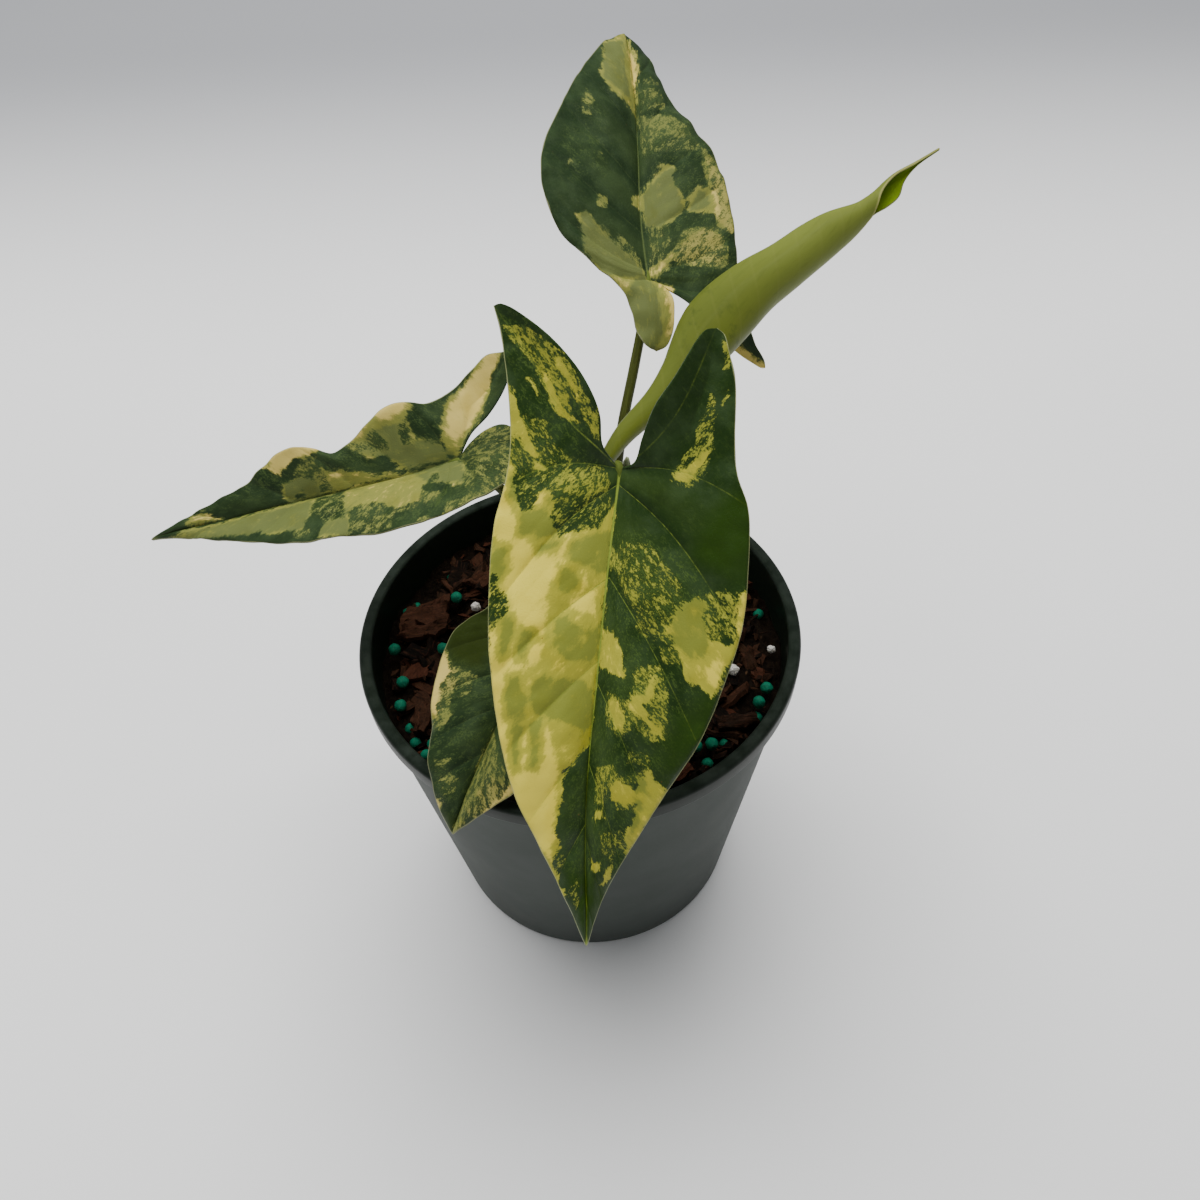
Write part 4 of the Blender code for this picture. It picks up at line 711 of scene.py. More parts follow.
def clear_tissue(paint, palette, grain, drift, speck):
    """The tissue without deep green: olive to yellow-green to cream, with greener specks."""
    blotch = paint.centred(paint.noise(grain, 0.55, 7.0, 0.7, (0.42, 1, 1)))
    field = paint.scaled(blotch, 5.0, paint.attribute("cream"))
    pale = paint.tint(palette["olive"], palette["yellow_green"], field, -1.1, 0.1)
    pale = paint.tint(pale, palette["cream"], field, 0.3, 1.4)
    pale = paint.shade(paint.rise(drift, -0.05, 0.25, 0.0, 0.3), pale, LEAF_WARMTH)
    return paint.mix(paint.times(speck, 0.7), pale, palette["speck"])


def deep_tissue(paint, palette, drift, mottle, painted_bulge_light, dusting):
    """The deep green, with painted light where the blade bulges between the veins, and paler where it is
    dusted.
    """
    green = paint.tint(palette["deep"], palette["deep_pale"], drift, -0.12, 0.2)
    green = paint.tint(green, palette["mid"], mottle, 0.5, 0.78, 0.3)
    green = paint.mix(painted_bulge_light, green, palette["mid"])
    haze = paint.times(paint.attribute("haze"), dusting)
    green = paint.mix(paint.times(haze, 0.62), green, palette["mid"])
    return paint.mix(paint.times(paint.attribute("fresh"), 0.8), green, palette["fresh"])


def vein_lines(paint, beside, vein_share):
    """How far the pale lines of the side veins, the lobe's vein and the midrib show."""
    show = paint.attribute("show")
    vein = paint.fall(paint.times(beside, paint.attribute("spacing")), 0.04, 0.17)
    lobe_line = paint.fall(paint.size_of(paint.attribute("lobe_line")), 0.06, 0.22)
    middle = paint.fall(paint.size_of(paint.attribute("mid")), 0.1, 0.34)
    lines = paint.larger(paint.times(vein, vein_share),
                         paint.times(lobe_line, paint.attribute("lobe_share")))
    lines = paint.larger(paint.times(lines, show),
                         paint.times(middle, paint.blend(show, 0.35, 0.95)))
    return lines, middle


def leaf_paint(name, palette, speck_scale, blur):
    """The upper face: deep green in ragged patches over cream, yellow-green and olive."""
    paint = Paint(name)
    blade_grain = paint.attribute("grain", "Vector")
    lobe_grain = paint.attribute("lobe_grain", "Vector")
    in_lobe = paint.attribute("in_lobe")
    speck = paint.attribute("speck")
    vein_share = paint.attribute("vein_share")

    def grained(scale, draw, detail, rough):
        """Noise drawn out along the veins, and along the lobe within a lobe."""
        blade = paint.noise(blade_grain, scale, detail, rough, (draw, 1, 1))
        lobe = paint.noise(lobe_grain, scale, detail, rough, (draw, 1, 1))
        return paint.centred(paint.blend(in_lobe, blade, lobe))

    ragged = grained(0.62, 0.5, 7.0, 0.7)
    coarse = grained(speck_scale, 0.45, 4.0, 0.65)
    fine = grained(3.4, 0.55, 3.0, 0.65)
    flecks = paint.scaled(fine, 7.0, paint.times(coarse, 11.0))
    field = paint.scaled(ragged, paint.blend(speck, 4.6, 1.8), paint.attribute("dark"))
    field = paint.scaled(fine, 0.9, field)
    field = paint.scaled(flecks, speck, field)
    deep = paint.rise(field, paint.scaled(speck, -0.2, -blur), paint.scaled(speck, 0.7, blur))
    halfway = paint.rise(field, paint.scaled(speck, -0.9, -0.3), 0.0)

    drift = paint.centred(paint.noise(blade_grain, 0.16, 3.0, 0.55))
    mottle = paint.noise(blade_grain, 1.3, 5.0, 0.7, (0.5, 1, 1))
    beside = paint.to_line(paint.attribute("phase"))
    # Painted light: the deep green is paler midway between the side veins, where the blade bulges.
    painted_bulge_light = paint.times(paint.rise(beside, 0.04, 0.42, 0.0, 0.2), vein_share)
    dusting = paint.rise(paint.scaled(coarse, 0.9, fine), 0.0, 0.2)
    pale = clear_tissue(paint, palette, blade_grain, drift, speck)
    green = deep_tissue(paint, palette, drift, mottle, painted_bulge_light, dusting)
    halo = paint.mix(0.5, palette["mid"], palette["olive"])
    colour = paint.mix(paint.times(halfway, 0.75), pale, halo)
    colour = paint.mix(deep, colour, green)

    lines, middle = vein_lines(paint, beside, vein_share)
    broken = paint.rise(paint.noise(blade_grain, 0.8, 4.0, 0.7), 0.36, 0.66, 0.12, 0.85)
    broken = paint.larger(broken, paint.times(middle, 0.9))
    colour = paint.mix(paint.times(lines, broken), colour, palette["vein"])
    colour = paint.mix(paint.fall(paint.attribute("edge"), 0.08, 0.26, 0.75), colour,
                       palette["rim"])
    spots = paint.fall(paint.cells(blade_grain, 0.16), 0.02, 0.04, 0.75)
    colour = paint.mix(paint.times(spots, paint.rise(mottle, 0.42, 0.6)), colour, LEAF_SPOT)

    network = paint.cells(blade_grain, 1.15, "DISTANCE_TO_EDGE")
    grain = paint.noise(blade_grain, 4.5, 4.0, 0.6)
    height = paint.scaled(paint.rise(network, 0.0, 0.16), 0.35, paint.times(grain, 0.5))
    paint.bump(paint.scaled(lines, -0.8, height), 0.08, 0.5)
    return paint.finish(colour, paint.scaled(grain, 0.16, paint.blend(deep, 0.46, 0.38)), 0.3)


def underside_paint():
    """The lower face: paler and matt, with raised veins and a trace of the pattern above."""
    paint = Paint("leaf_under")
    grain = paint.attribute("grain", "Vector")
    ragged = paint.centred(paint.noise(grain, 0.75, 6.0, 0.66, (0.45, 1, 1)))
    field = paint.scaled(ragged, 4.2, paint.attribute("dark"))
    colour = paint.tint(UNDERSIDE_PALE, UNDERSIDE, field, -0.5, 0.5)
    beside = paint.to_line(paint.attribute("phase"))
    vein = paint.fall(paint.times(beside, paint.attribute("spacing")), 0.1, 0.5)
    middle = paint.fall(paint.size_of(paint.attribute("mid")), 0.3, 0.9)
    lines = paint.larger(vein, middle)
    colour = paint.mix(paint.times(lines, 0.6), colour, UNDERSIDE_VEIN)
    network = paint.rise(paint.cells(grain, 1.15, "DISTANCE_TO_EDGE"), 0.0, 0.16)
    paint.bump(paint.scaled(lines, 1.4, paint.times(network, -0.3)), 0.12, 0.7)
    return paint.finish(colour, paint.scaled(network, -0.06, 0.58), 0.15)


def shoot_paint():
    """The rolled leaf: young and waxy, its lit top painted darker and its shaded lower side painted
    lighter, and paler to the tip.
    """
    paint = Paint("new_leaf")
    grain = paint.attribute("grain", "Vector")
    streaks = paint.noise(grain, 1.4, 4.0, 0.55, (1, 0.16, 1))
    clouds = paint.noise(grain, 0.17, 3.0, 0.55, (1, 0.5, 1))
    # Painted light: the lower side, in the lamp's shade, is lighter, and the lit top darker.
    warm = paint.scaled(paint.centred(clouds), 0.9, paint.attribute("warm"))
    colour = paint.tint(SHOOT_TOP_PAINTED_DARKER, SHOOT_UNDERSIDE_PAINTED_LIGHTER, warm, 0.15, 0.85)
    colour = paint.tint(colour, SHOOT_TIP, paint.second_part(grain), 36.0, 72.0, 0.75)
    colour = paint.tint(colour, SHOOT_DEEP, streaks, 0.5, 0.72, 0.16)
    blotch = paint.rise(paint.noise(grain, 0.3, 5.0, 0.65), 0.52, 0.66, 0.0, 0.6)
    colour = paint.mix(paint.times(blotch, paint.attribute("low")), colour, SHOOT_DEEP)
    line = paint.fall(paint.to_line(paint.attribute("phase")), 0.02, 0.09)
    colour = paint.mix(paint.times(line, 0.03), colour, SHOOT_RIM)
    colour = paint.mix(paint.fall(paint.attribute("edge"), 0.15, 0.6, 0.7), colour, SHOOT_RIM)
    paint.bump(paint.scaled(line, 0.3, paint.times(streaks, 0.6)), 0.1, 0.4)
    return paint.finish(colour, paint.scaled(clouds, 0.12, 0.42), 0.3)


def shoot_inside_paint():
    """The inner face of the rolled leaf, seen only where the tip opens, with painted shade that is
    darkest at the free margin.
    """
    paint = Paint("new_leaf_inside")
    streaks = paint.noise(paint.attribute("grain", "Vector"), 1.4, 4.0, 0.55, (1, 0.2, 1))
    share = paint.scaled(streaks, 0.6, paint.attribute("shaded"))
    # Painted shade on the inside of the roll.
    colour = paint.tint(SHOOT_INSIDE, SHOOT_INSIDE_SHADE, share, 0.5, 1.1)
    paint.bump(streaks, 0.08, 0.5)
    return paint.finish(colour, paint.scaled(streaks, 0.1, 0.4), 0.2)


def stalk_paint(name, dark, pale):
    """Stalk skin: fine lengthwise ribs with painted shade in their grooves, darker low down and paler at
    the top.
    """
    paint = Paint(name)
    grain = paint.attribute("grain", "Vector")
    ribs = paint.noise(grain, 2.6, 4.0, 0.6, (1, 0.05, 1))
    clouds = paint.noise(grain, 0.35, 4.0, 0.6, (1, 0.3, 1))
    share = paint.scaled(paint.centred(clouds), 0.8, paint.attribute("top"))
    colour = paint.tint(dark, pale, share, 0.25, 1.1)
    # Painted shade: darker in the grooves between the ribs.
    colour = paint.shade(paint.fall(ribs, 0.42, 0.62, 0.35), colour, STALK_RIB_SHADE)
    colour = paint.tint(colour, pale, paint.noise(grain, 3.2, 3.0, 0.6), 0.66, 0.74, 0.4)
    colour = paint.mix(paint.attribute("knee"), colour, STALK_KNEE)
    paint.bump(ribs, 0.08, 0.6)
    return paint.finish(colour, paint.scaled(clouds, 0.2, 0.38), 0.2)


def pot_paint():
    """Moulded plastic: a faint pebble, draw marks up the wall, rubbed edges, dust, and a painted
    reflection that lightens the outer wall.
    """
    paint = Paint("pot_plastic")
    here = paint.here()
    wall = paint.attribute("wall")
    pebble = paint.noise(here, 2.4, 3.0, 0.5)
    marks = paint.noise(here, 1.6, 4.0, 0.6, (1, 1, 0.04))
    clouds = paint.noise(here, 0.06, 4.0, 0.6)
    dust = paint.rise(paint.noise(here, 0.9, 6.0, 0.7), 0.58, 0.76, 0.0, 0.08)
    rubbed = paint.rise(paint.noise(here, 0.25, 4.0, 0.6), 0.3, 0.7)
    worn = paint.times(paint.attribute("worn"), rubbed)
    # Painted reflection: the outer wall is painted lighter than the rim and inside, for the pale floor
    # that it reflects.
    body = paint.mix(wall, POT_GREEN, POT_WALL_REFLECTION)
    colour = paint.shade(paint.rise(clouds, 0.3, 0.7, 0.0, 0.2), body, POT_CLOUD)
    colour = paint.mix(dust, colour, POT_DUST)
    colour = paint.mix(paint.times(worn, 0.25), colour, POT_WORN)
    paint.bump(paint.scaled(marks, 0.7, pebble), 0.04, 0.25)
    roughness = paint.scaled(paint.centred(clouds), 0.1, paint.blend(wall, 0.4, 0.6))
    return paint.finish(colour, paint.scaled(dust, 0.8, roughness), 0.15)


def mix_paint():
    """Damp peat: near-black crumbs with brown fibres and a little mineral grit."""
    paint = Paint("potting_mix")
    here = paint.here()
    crumbs = paint.cells(here, 0.7)
    fibres = paint.noise(here, 1.8, 5.0, 0.7, (1, 0.25, 1), 1.5)
    colour = paint.tint(PEAT_DARK, PEAT, crumbs, 0.1, 0.7)
    colour = paint.tint(colour, BARK_BROWN, fibres, 0.55, 0.72, 0.7)
    colour = paint.tint(colour, GRIT, paint.cells(here, 1.6, output="Color"), 0.93, 0.97, 0.5)
    paint.bump(paint.scaled(fibres, 0.8, crumbs), 0.5, 0.8)
    return paint.finish(colour, paint.scaled(fibres, 0.3, 0.55), 0.2)


def bark_paint():
    """Bark: layered, fibrous and damp, from red-brown to nearly black from chip to chip."""
    paint = Paint("bark")
    grain = paint.attribute("grain", "Vector")
    tone = paint.attribute("tone")
    layers = paint.noise(grain, 1.6, 5.0, 0.65, (0.15, 1, 1.6), 0.6)
    colour = paint.tint(BARK_DARK, BARK_BROWN, tone, 0.1, 0.55)
    colour = paint.tint(colour, BARK_RED, tone, 0.5, 0.95)
    colour = paint.tint(colour, BARK_FIBRE, layers, 0.5, 0.72, 0.45)
    colour = paint.tint(colour, BARK_CREVICE, layers, 0.48, 0.32, 0.8)
    colour = paint.tint(colour, BARK_DUST, paint.noise(paint.here(), 2.4, 4.0, 0.7), 0.6, 0.74,
                        0.3)
    paint.bump(paint.scaled(paint.cells(grain, 0.9), 0.3, layers), 0.35, 0.8)
    return paint.finish(colour, paint.scaled(layers, 0.35, 0.5), 0.2)


def prill_paint():
    """Coated fertiliser beads: waxy, a little mottled, with rubbed and soiled spots."""
    paint = Paint("fertiliser_prill")
    here = paint.here()
    mottle = paint.noise(here, 0.9, 4.0, 0.6)
    colour = paint.tint(PRILL_GREEN, PRILL_PALE, mottle, 0.35, 0.7)
    colour = paint.tint(colour, PRILL_RUBBED, paint.noise(here, 1.7, 5.0, 0.7), 0.62, 0.7, 0.5)
    colour = paint.tint(colour, PRILL_SOIL, paint.noise(here, 1.0, 5.0, 0.7), 0.54, 0.66, 0.85)
    paint.bump(mottle, 0.12, 0.6)
    return paint.finish(colour, paint.scaled(mottle, 0.3, 0.3), 0.35)


def perlite_paint():
    """Perlite: chalky white, with open pores and a brown stain in places."""
    paint = Paint("perlite")
    here = paint.here()
    pores = paint.cells(here, 2.2)
    colour = paint.tint(PERLITE_PORE, PERLITE_WHITE, pores, 0.05, 0.35)
    colour = paint.tint(colour, PERLITE_STAIN, paint.noise(here, 0.8, 4.0, 0.6), 0.5, 0.7, 0.45)
    paint.bump(pores, 0.25, 0.8)
    return paint.finish(colour, paint.scaled(pores, 0.1, 0.82), 0.3)


def backdrop_paint():
    """Matt pale card, with painted shade that turns it greyer behind the plant, where the light falls
    off.
    """
    paint = Paint("backdrop")
    here = paint.here()
    clouds = paint.noise(here, 0.004, 3.0, 0.5)
    colour = paint.tint(BACKDROP, BACKDROP_CLOUD, clouds, 0.3, 0.7)
    # Painted shade: greyer with distance behind the pot.
    colour = paint.tint(colour, BACKDROP_FAR_SHADE, paint.second_part(here), *BACKDROP_SHADE_FADE)
    paint.bump(paint.noise(here, 1.2, 3.0, 0.5), 0.02, 0.3)
    return paint.finish(colour, paint.scaled(clouds, 0.1, 0.6), 0.3)


def curve_through(points, samples=16):
    """A dense line on the Catmull-Rom curve through the points."""
    inner = np.array(points, float)
    ends = np.vstack([2 * inner[0] - inner[1], inner, 2 * inner[-1] - inner[-2]])
    t = np.linspace(0, 1, samples, endpoint=False)[:, None]
    parts = []
    for a, b, c, d in zip(ends, ends[1:], ends[2:], ends[3:]):
        parts.append(0.5 * (2 * b + (c - a) * t + (2 * a - 5 * b + 4 * c - d) * t ** 2
                            + (3 * b - a - 3 * c + d) * t ** 3))
    return np.vstack(parts + [inner[-1:]])


def run_of(line):
    """Each point's distance along the line, as a share of the whole, and the whole."""
    steps = np.linalg.norm(np.diff(line, axis=0), axis=1)
    run = np.concatenate([[0.0], np.cumsum(steps)])
    return run / run[-1], run[-1]


def columns_at(values, places, table):
    """Every column of a table, read at the values between its places."""
    return np.stack([np.interp(values, places, column) for column in table.T], -1)


def at_shares(line, shares):
    """The points at some shares of a line's length."""
    return columns_at(shares, run_of(line)[0], line)


def from_edge(points, start, end):
    """The edge from start to end, and each point's offset from the nearest place on it."""
    edge = end - start
    away = points - start
    share = np.clip(away @ edge / max(edge @ edge, 1e-9), 0, 1)
    return edge, away - share[:, None] * edge


def inside_by(points, outline):
    """Distance from each point to a closed outline, positive inside it."""
    corners = np.array(outline, float)
    nearest = np.full(len(points), np.inf)
    inside = np.zeros(len(points), bool)
    for a, b in zip(corners, np.roll(corners, -1, axis=0)):
        edge, offset = from_edge(points, a, b)
        nearest = np.minimum(nearest, np.linalg.norm(offset, axis=1))
        if a[1] != b[1]:
            spans = (a[1] > points[:, 1]) != (b[1] > points[:, 1])
            cross = a[0] + (points[:, 1] - a[1]) / (b[1] - a[1]) * edge[0]
            inside ^= spans & (points[:, 0] < cross)
    return np.where(inside, nearest, -nearest)


def beside_line(points, line):
    """Signed distance from each point to an open line, positive on its left."""
    nearest = np.full(len(points), np.inf)
    signed = np.zeros(len(points))
    for a, b in zip(line, line[1:]):
        edge, offset = from_edge(points, a, b)
        distance = np.linalg.norm(offset, axis=1)
        turn = np.sign(edge[0] * offset[:, 1] - edge[1] * offset[:, 0])
        signed = np.where(distance < nearest, distance * turn, signed)
        nearest = np.minimum(nearest, distance)
    return signed


def paint_marks(points, marks):
    """The deep green and cream fields in mm, and the shares of flecks, haze and freshness."""
    dark = np.full(len(points), 4.0)
    cream = np.full(len(points), 0.2)
    speck = np.full(len(points), 0.0)
    haze = np.full(len(points), 0.12)
    fresh = np.full(len(points), 0.0)
    levels = {"fleck": 0.8, "spray": 0.0, "dust": -0.7}
    for kind, outline in marks:
        depth = inside_by(points, outline)
        solid = np.clip(depth, -9, 4)
        if kind in ("dark", "clear"):
            dark = np.maximum(dark, solid) if kind == "dark" else np.minimum(dark, -solid)
            speck *= 1 - np.clip(0.5 + depth, 0, 1)
        elif kind in levels:
            share = np.clip(0.5 + depth * 0.8, 0, 1)
            dark = dark * (1 - share) + levels[kind] * share
            speck = np.maximum(speck, share)
        elif kind == "haze":
            haze = np.maximum(haze, np.clip(0.4 + depth * 0.35, 0, 1))
        elif kind == "fresh":
            fresh = np.maximum(fresh, np.clip(0.4 + depth * 0.25, 0, 1))
        elif kind == "cream":
            cream = np.maximum(cream, np.clip(depth, -9, 1.8))
        elif kind == "olive":
            cream = np.minimum(cream, -np.clip(depth * 1.3, -9, 1.1) - 0.1)
    return {"dark": dark, "cream": cream, "speck": speck, "haze": haze, "fresh": fresh}


def lump(*place):
    """Smooth noise at a place, about -1 to 1."""
    return noise.noise(Vector(place))


def link(name, data):
    """A new object in the scene that shows a mesh, lamp or camera."""
    obj = bpy.data.objects.new(name, data)
    bpy.context.scene.collection.objects.link(obj)
    return obj


def add_mesh(name, points, faces, materials, layers, sharp=None):
    """A smooth mesh from points in mm, with one number or vector a point in each layer."""
    mesh = bpy.data.meshes.new(name)
    mesh.from_pydata([tuple(point) for point in np.asarray(points) * MM], [], faces)
    for material in materials:
        mesh.materials.append(material)
    obj = link(name, mesh)
    mesh.shade_smooth()
    for key, values in layers.items():
        values = np.asarray(values, float)
        kind, field = (("FLOAT", "value"), ("FLOAT_VECTOR", "vector"))[values.ndim - 1]
        layer = mesh.attributes.new(key, kind, "POINT")
        layer.data.foreach_set(field, values.astype(np.float32).ravel())
    if sharp:
        mesh.set_sharp_from_angle(angle=math.radians(sharp))
    return obj


def sheet_faces(index, order=(0, 1, 2, 3), closed=False):
    """Faces between the rows of a grid of point numbers, without repeated corners."""
    if closed:
        index = np.column_stack([index, index[:, :1]])
    faces = []
    for low, high in zip(index.tolist(), index[1:].tolist()):
        for column in range(len(low) - 1):
            corners = (low[column], low[column + 1], high[column + 1], high[column])
            face = list(dict.fromkeys(corners[place] for place in order))
            if len(face) > 2:
                faces.append(face)
    return faces


def thicken(obj, thickness, offset, material_offset=0):
    """Give a sheet its thickness in mm, and its back the material at the offset."""
    solid = obj.modifiers.new("Sheet", "SOLIDIFY")
    solid.thickness = thickness * MM
    solid.offset = offset
    solid.material_offset = material_offset


def dress(obj, slot, *nodes):
    """Say what a piece rides on and what it replaces. Its slot is not used."""
    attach(obj, BODY)
    if nodes:
        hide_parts(*nodes)


def place(mesh, junction, rise, roll, heading):
    """Carry a mesh from its leaf's own frame to its junction on the plant."""
    turn = Euler([math.radians(angle) for angle in (rise, roll, heading)], "YXZ")
    mesh.transform(Matrix.Translation(Vector(junction) * MM) @ turn.to_matrix().to_4x4())


def blade_shares(leaf):
    """Shares along the midrib, closer together where the rows fan out at the margin."""
    length = leaf["midrib"][-1][1]
    heights = np.linspace(0, length, 800)
    run = heights.copy()
    for side in ("right", "left"):
        starts, ends = np.array(leaf[side]["veins"], float).T
        run += 1.2 * (np.interp(heights, starts, ends) - ends[0])
    even = np.linspace(0, run[-1], BLADE_ROWS + 1)
    return np.interp(even, run, heights) / length


def half_blade(leaf, side, shares):
    """One half of a blade: its points by row and column, and what its relief needs."""
    part = leaf[side]
    midrib = curve_through(leaf["midrib"])
    outer = curve_through(part["outer"])
    starts, ends = np.array(part["veins"], float).T
    heights = shares * leaf["midrib"][-1][1]
    met = np.interp(heights, starts, ends)
    reach = np.interp(met, np.maximum.accumulate(outer[:, 1]), run_of(outer)[0])
    reach[-1] = 1.0
    lobe_shares = np.linspace(1, 0, LOBE_ROWS, endpoint=False)
    inner = np.vstack([at_shares(curve_through(part["lobe"]), lobe_shares),
                       at_shares(midrib, shares)])
    margin = np.vstack([at_shares(outer, reach[0] * (1 - lobe_shares)),
                        at_shares(outer, reach)])
    across = np.linspace(0, 1, COLUMNS + 1)
    grid = inner[:, None] + (margin - inner)[:, None] * across[None, :, None]
    width = np.linalg.norm(margin - inner, axis=1)[:, None]

    lift = np.concatenate([-part["lobe_valley"] * np.sin(np.pi * lobe_shares) ** 1.3,
                           part["bulge"] * np.sin(np.pi * shares) ** 1.3])
    arch = np.sin(np.pi * across)
    fold = np.concatenate([np.sin(np.pi * lobe_shares) ** 1.2, 0 * shares])[:, None]
    crease = fold * (1 - np.abs(2 * across - 1)) ** 1.1 + (1 - fold) * arch
    sag = np.concatenate([0.11 * (1 - lobe_shares) ** 3, 0.03 + 0.08 * np.exp(-shares / 0.1)])
    sag[-1] = 0.0
    grid[:, :, 1] -= sag[:, None] * width * arch[None]
    grid[:, :, 2] += lift[:, None] * crease

    vein_numbers = np.arange(len(starts))
    phase = np.concatenate([-3.0 * lobe_shares, np.interp(heights, starts, vein_numbers)])
    apart = np.diff(starts) * 0.5 + np.diff(ends) * 0.35
    spacing = np.concatenate([np.full(LOBE_ROWS, 7.0), np.interp(
        phase[LOBE_ROWS:], vein_numbers[:-1] + 0.5, apart)])
    return grid, across[None], width, phase[:, None], spacing[:, None], midrib


def relief(grid, across, width, phase, spacing, seed):
    """Quilting between the side veins, grooves along them, and a lightly waved margin."""
    row = np.arange(len(grid))[:, None] - LOBE_ROWS
    fade = np.clip(row, 0, 12) / 12
    body = np.sin(np.pi * np.clip(across, 0, 1)) ** 0.55
    puff = np.abs(np.sin(np.pi * phase)) ** 0.7
    lift = 0.065 * np.minimum(spacing, 14.0) * puff * body * fade
    lift += 0.09 * np.abs(np.sin(3 * np.pi * phase)) ** 0.6 * body * fade
    flat = grid.reshape(-1, 3)
    lumps = [lump(x * 0.09 + seed, y * 0.09, 0.4) + 0.4 * lump(x * 0.3, y * 0.3, seed)
             for x, y, _ in flat]
    lift += 0.55 * np.array(lumps).reshape(lift.shape) * np.minimum(across * 3, 1)
    edge = (1 - across) * width
    wave = [lump(x * 0.22, y * 0.22, seed + 7) for x, y, _ in flat]
    wave = np.array(wave).reshape(lift.shape)
    lift += 0.9 * wave * np.exp(-edge / 2.5) * np.minimum(width / 8, 1)
    lift -= 0.1 * np.exp(-(across * width / 0.7) ** 2) * (row >= 0)
    lift[-1] = 0
    lift[:, 0] = np.where(row[:, 0] >= 0, -0.1, lift[:, 0])
    grid[:, :, 2] += lift


def half_layers(leaf, side, grid, across, width, phase, spacing, midrib):
    """What the paint of one half reads beside its pattern, by row and column."""
    part = leaf[side]
    row = np.arange(len(grid))[:, None]
    sign = 1.0 if side == "right" else -1.0
    middle = np.interp(grid[:, :, 1], midrib[:, 1], midrib[:, 0])
    mid = grid[:, :, 0] - middle - sign * np.minimum(grid[:, :, 1], 0) * 2.5
    run = np.linalg.norm(grid[:, :, :2], axis=2)
    in_lobe = np.clip((LOBE_ROWS + 8 - row) / 20, 0, 1)
    vein_share = np.clip(1.25 - 1.1 * across, 0, 1) * np.clip((row - LOBE_ROWS + 4) / 3, 0, 1)
    way = curve_through(part["lobe_vein"])
    line = beside_line(grid[:, :, :2].reshape(-1, 2), way)
    lobe_share = np.clip(1.1 - run / np.linalg.norm(way[-1]), 0, part.get("lobe_line", 0.8))
    flat = 0 * run
    return {
        "phase": phase + flat,
        "spacing": spacing + flat,
        "mid": mid / (1 + 0.7 * np.exp(-run / 4.0)),
        "edge": (1 - across) * width,
        "vein_share": vein_share * np.clip((len(grid) - 14 - row) / 20, 0, 1),
        "lobe_line": line.reshape(run.shape),
        "lobe_share": lobe_share,
        "in_lobe": in_lobe ** 2 * (3 - 2 * in_lobe) + flat,
    }


def grain_along(points, way, depth):
    """Places along and across a way that is mirrored in the midrib, for the noises."""
    aside = np.abs(points[:, 0])
    along = aside * way[0] + points[:, 1] * way[1]
    square = points[:, 1] * way[0] - aside * way[1]
    return np.stack([along, square, 9 * np.tanh(points[:, 0] / 3) + depth], -1)


def build_leaf(name, leaf, top_paint, under_paint, seed):
    """A thin blade of two halves that share the midrib, with its pattern stored on it."""
    shares = blade_shares(leaf)
    points = np.empty((0, 3))
    faces = []
    layers = {}
    spine = None
    for side in ("right", "left"):
        grid, across, width, phase, spacing, midrib = half_blade(leaf, side, shares)
        relief(grid, across, width, phase, spacing, seed + (0 if side == "right" else 31))
        fresh = np.ones(grid.shape[:2], bool)
        fresh[[0, -1], 1:] = False
        if spine is not None:
            fresh[LOBE_ROWS:, 0] = False
        index = np.zeros(grid.shape[:2], int)
        index[fresh] = len(points) + np.arange(fresh.sum())
        if spine is not None:
            index[LOBE_ROWS:, 0] = spine
        index[[0, -1], 1:] = index[[0, -1], :1]
        spine = index[LOBE_ROWS:, 0]
        points = np.vstack([points, grid[fresh]])
        values = half_layers(leaf, side, grid, across, width, phase, spacing, midrib)
        for key, value in values.items():
            layers[key] = np.concatenate([layers.get(key, []), value[fresh]])
        faces += sheet_faces(index, (0, 1, 2, 3) if side == "right" else (3, 2, 1, 0))
    flat = points[:, :2]
    layers.update(paint_marks(flat, MARKS[name]))
    layers["show"] = np.full(len(points), leaf["veins_show"])
    layers["grain"] = grain_along(flat, (math.cos(VEIN_ANGLE), math.sin(VEIN_ANGLE)), seed * 17)
    tip = np.array(leaf["right"]["lobe"][-1][:2], float)
    tip /= np.linalg.norm(tip)
    layers["lobe_grain"] = grain_along(flat, tip, seed * 17 + 40) * (1, -1, 1)
    obj = add_mesh(name + "_blade", points, faces, [top_paint, under_paint], layers)
    place(obj.data, leaf["junction"], leaf["rise"], leaf["roll"], leaf["heading"])
    thicken(obj, BLADE_THICKNESS, 0.0, 1)
    dress(obj, "leaf", name)


def grid_of(rows, columns):
    """The numbers of points that were made row by row."""
    return np.arange(rows * columns).reshape(rows, columns)


def stacked(*parts):
    """Points or vectors from their parts, which spread over one grid."""
    return np.stack(np.broadcast_arrays(*parts), -1).reshape(-1, len(parts))


def tube(name, centres, radii, material, knee, sides, groove=0.0):
    """A round stalk through the centres, with its ends closed and a groove along its top."""
    shares, length = run_of(centres)
    way = np.vstack([centres[1:], centres[-1:]]) - np.vstack([centres[:1], centres[:-1]])
    way /= np.linalg.norm(way, axis=1)[:, None]
    aside = np.cross(way, STALK_LEAN)
    aside /= np.linalg.norm(aside, axis=1)[:, None]
    up = np.cross(aside, way)
    angles = math.tau * np.arange(sides) / sides
    dent = 1 - groove * np.exp(-((angles - math.pi) / 0.45) ** 2)
    turn = aside[:, None] * np.sin(angles)[:, None] + up[:, None] * np.cos(angles)[:, None]
    points = centres[:, None] + turn * (radii[:, None] * dent)[:, :, None]
    index = grid_of(len(centres), sides)
    faces = sheet_faces(index, closed=True)
    faces.append(index[0].tolist()[::-1])
    faces.append(index[-1].tolist())
    layers = {"grain": stacked(np.abs(angles - math.pi) * 2.2, (shares * length)[:, None], 1.0),
              "top": np.repeat(shares, sides), "knee": np.repeat(knee, sides)}
    return add_mesh(name, points.reshape(-1, 3), faces, [material], layers, SHARP_STALK)


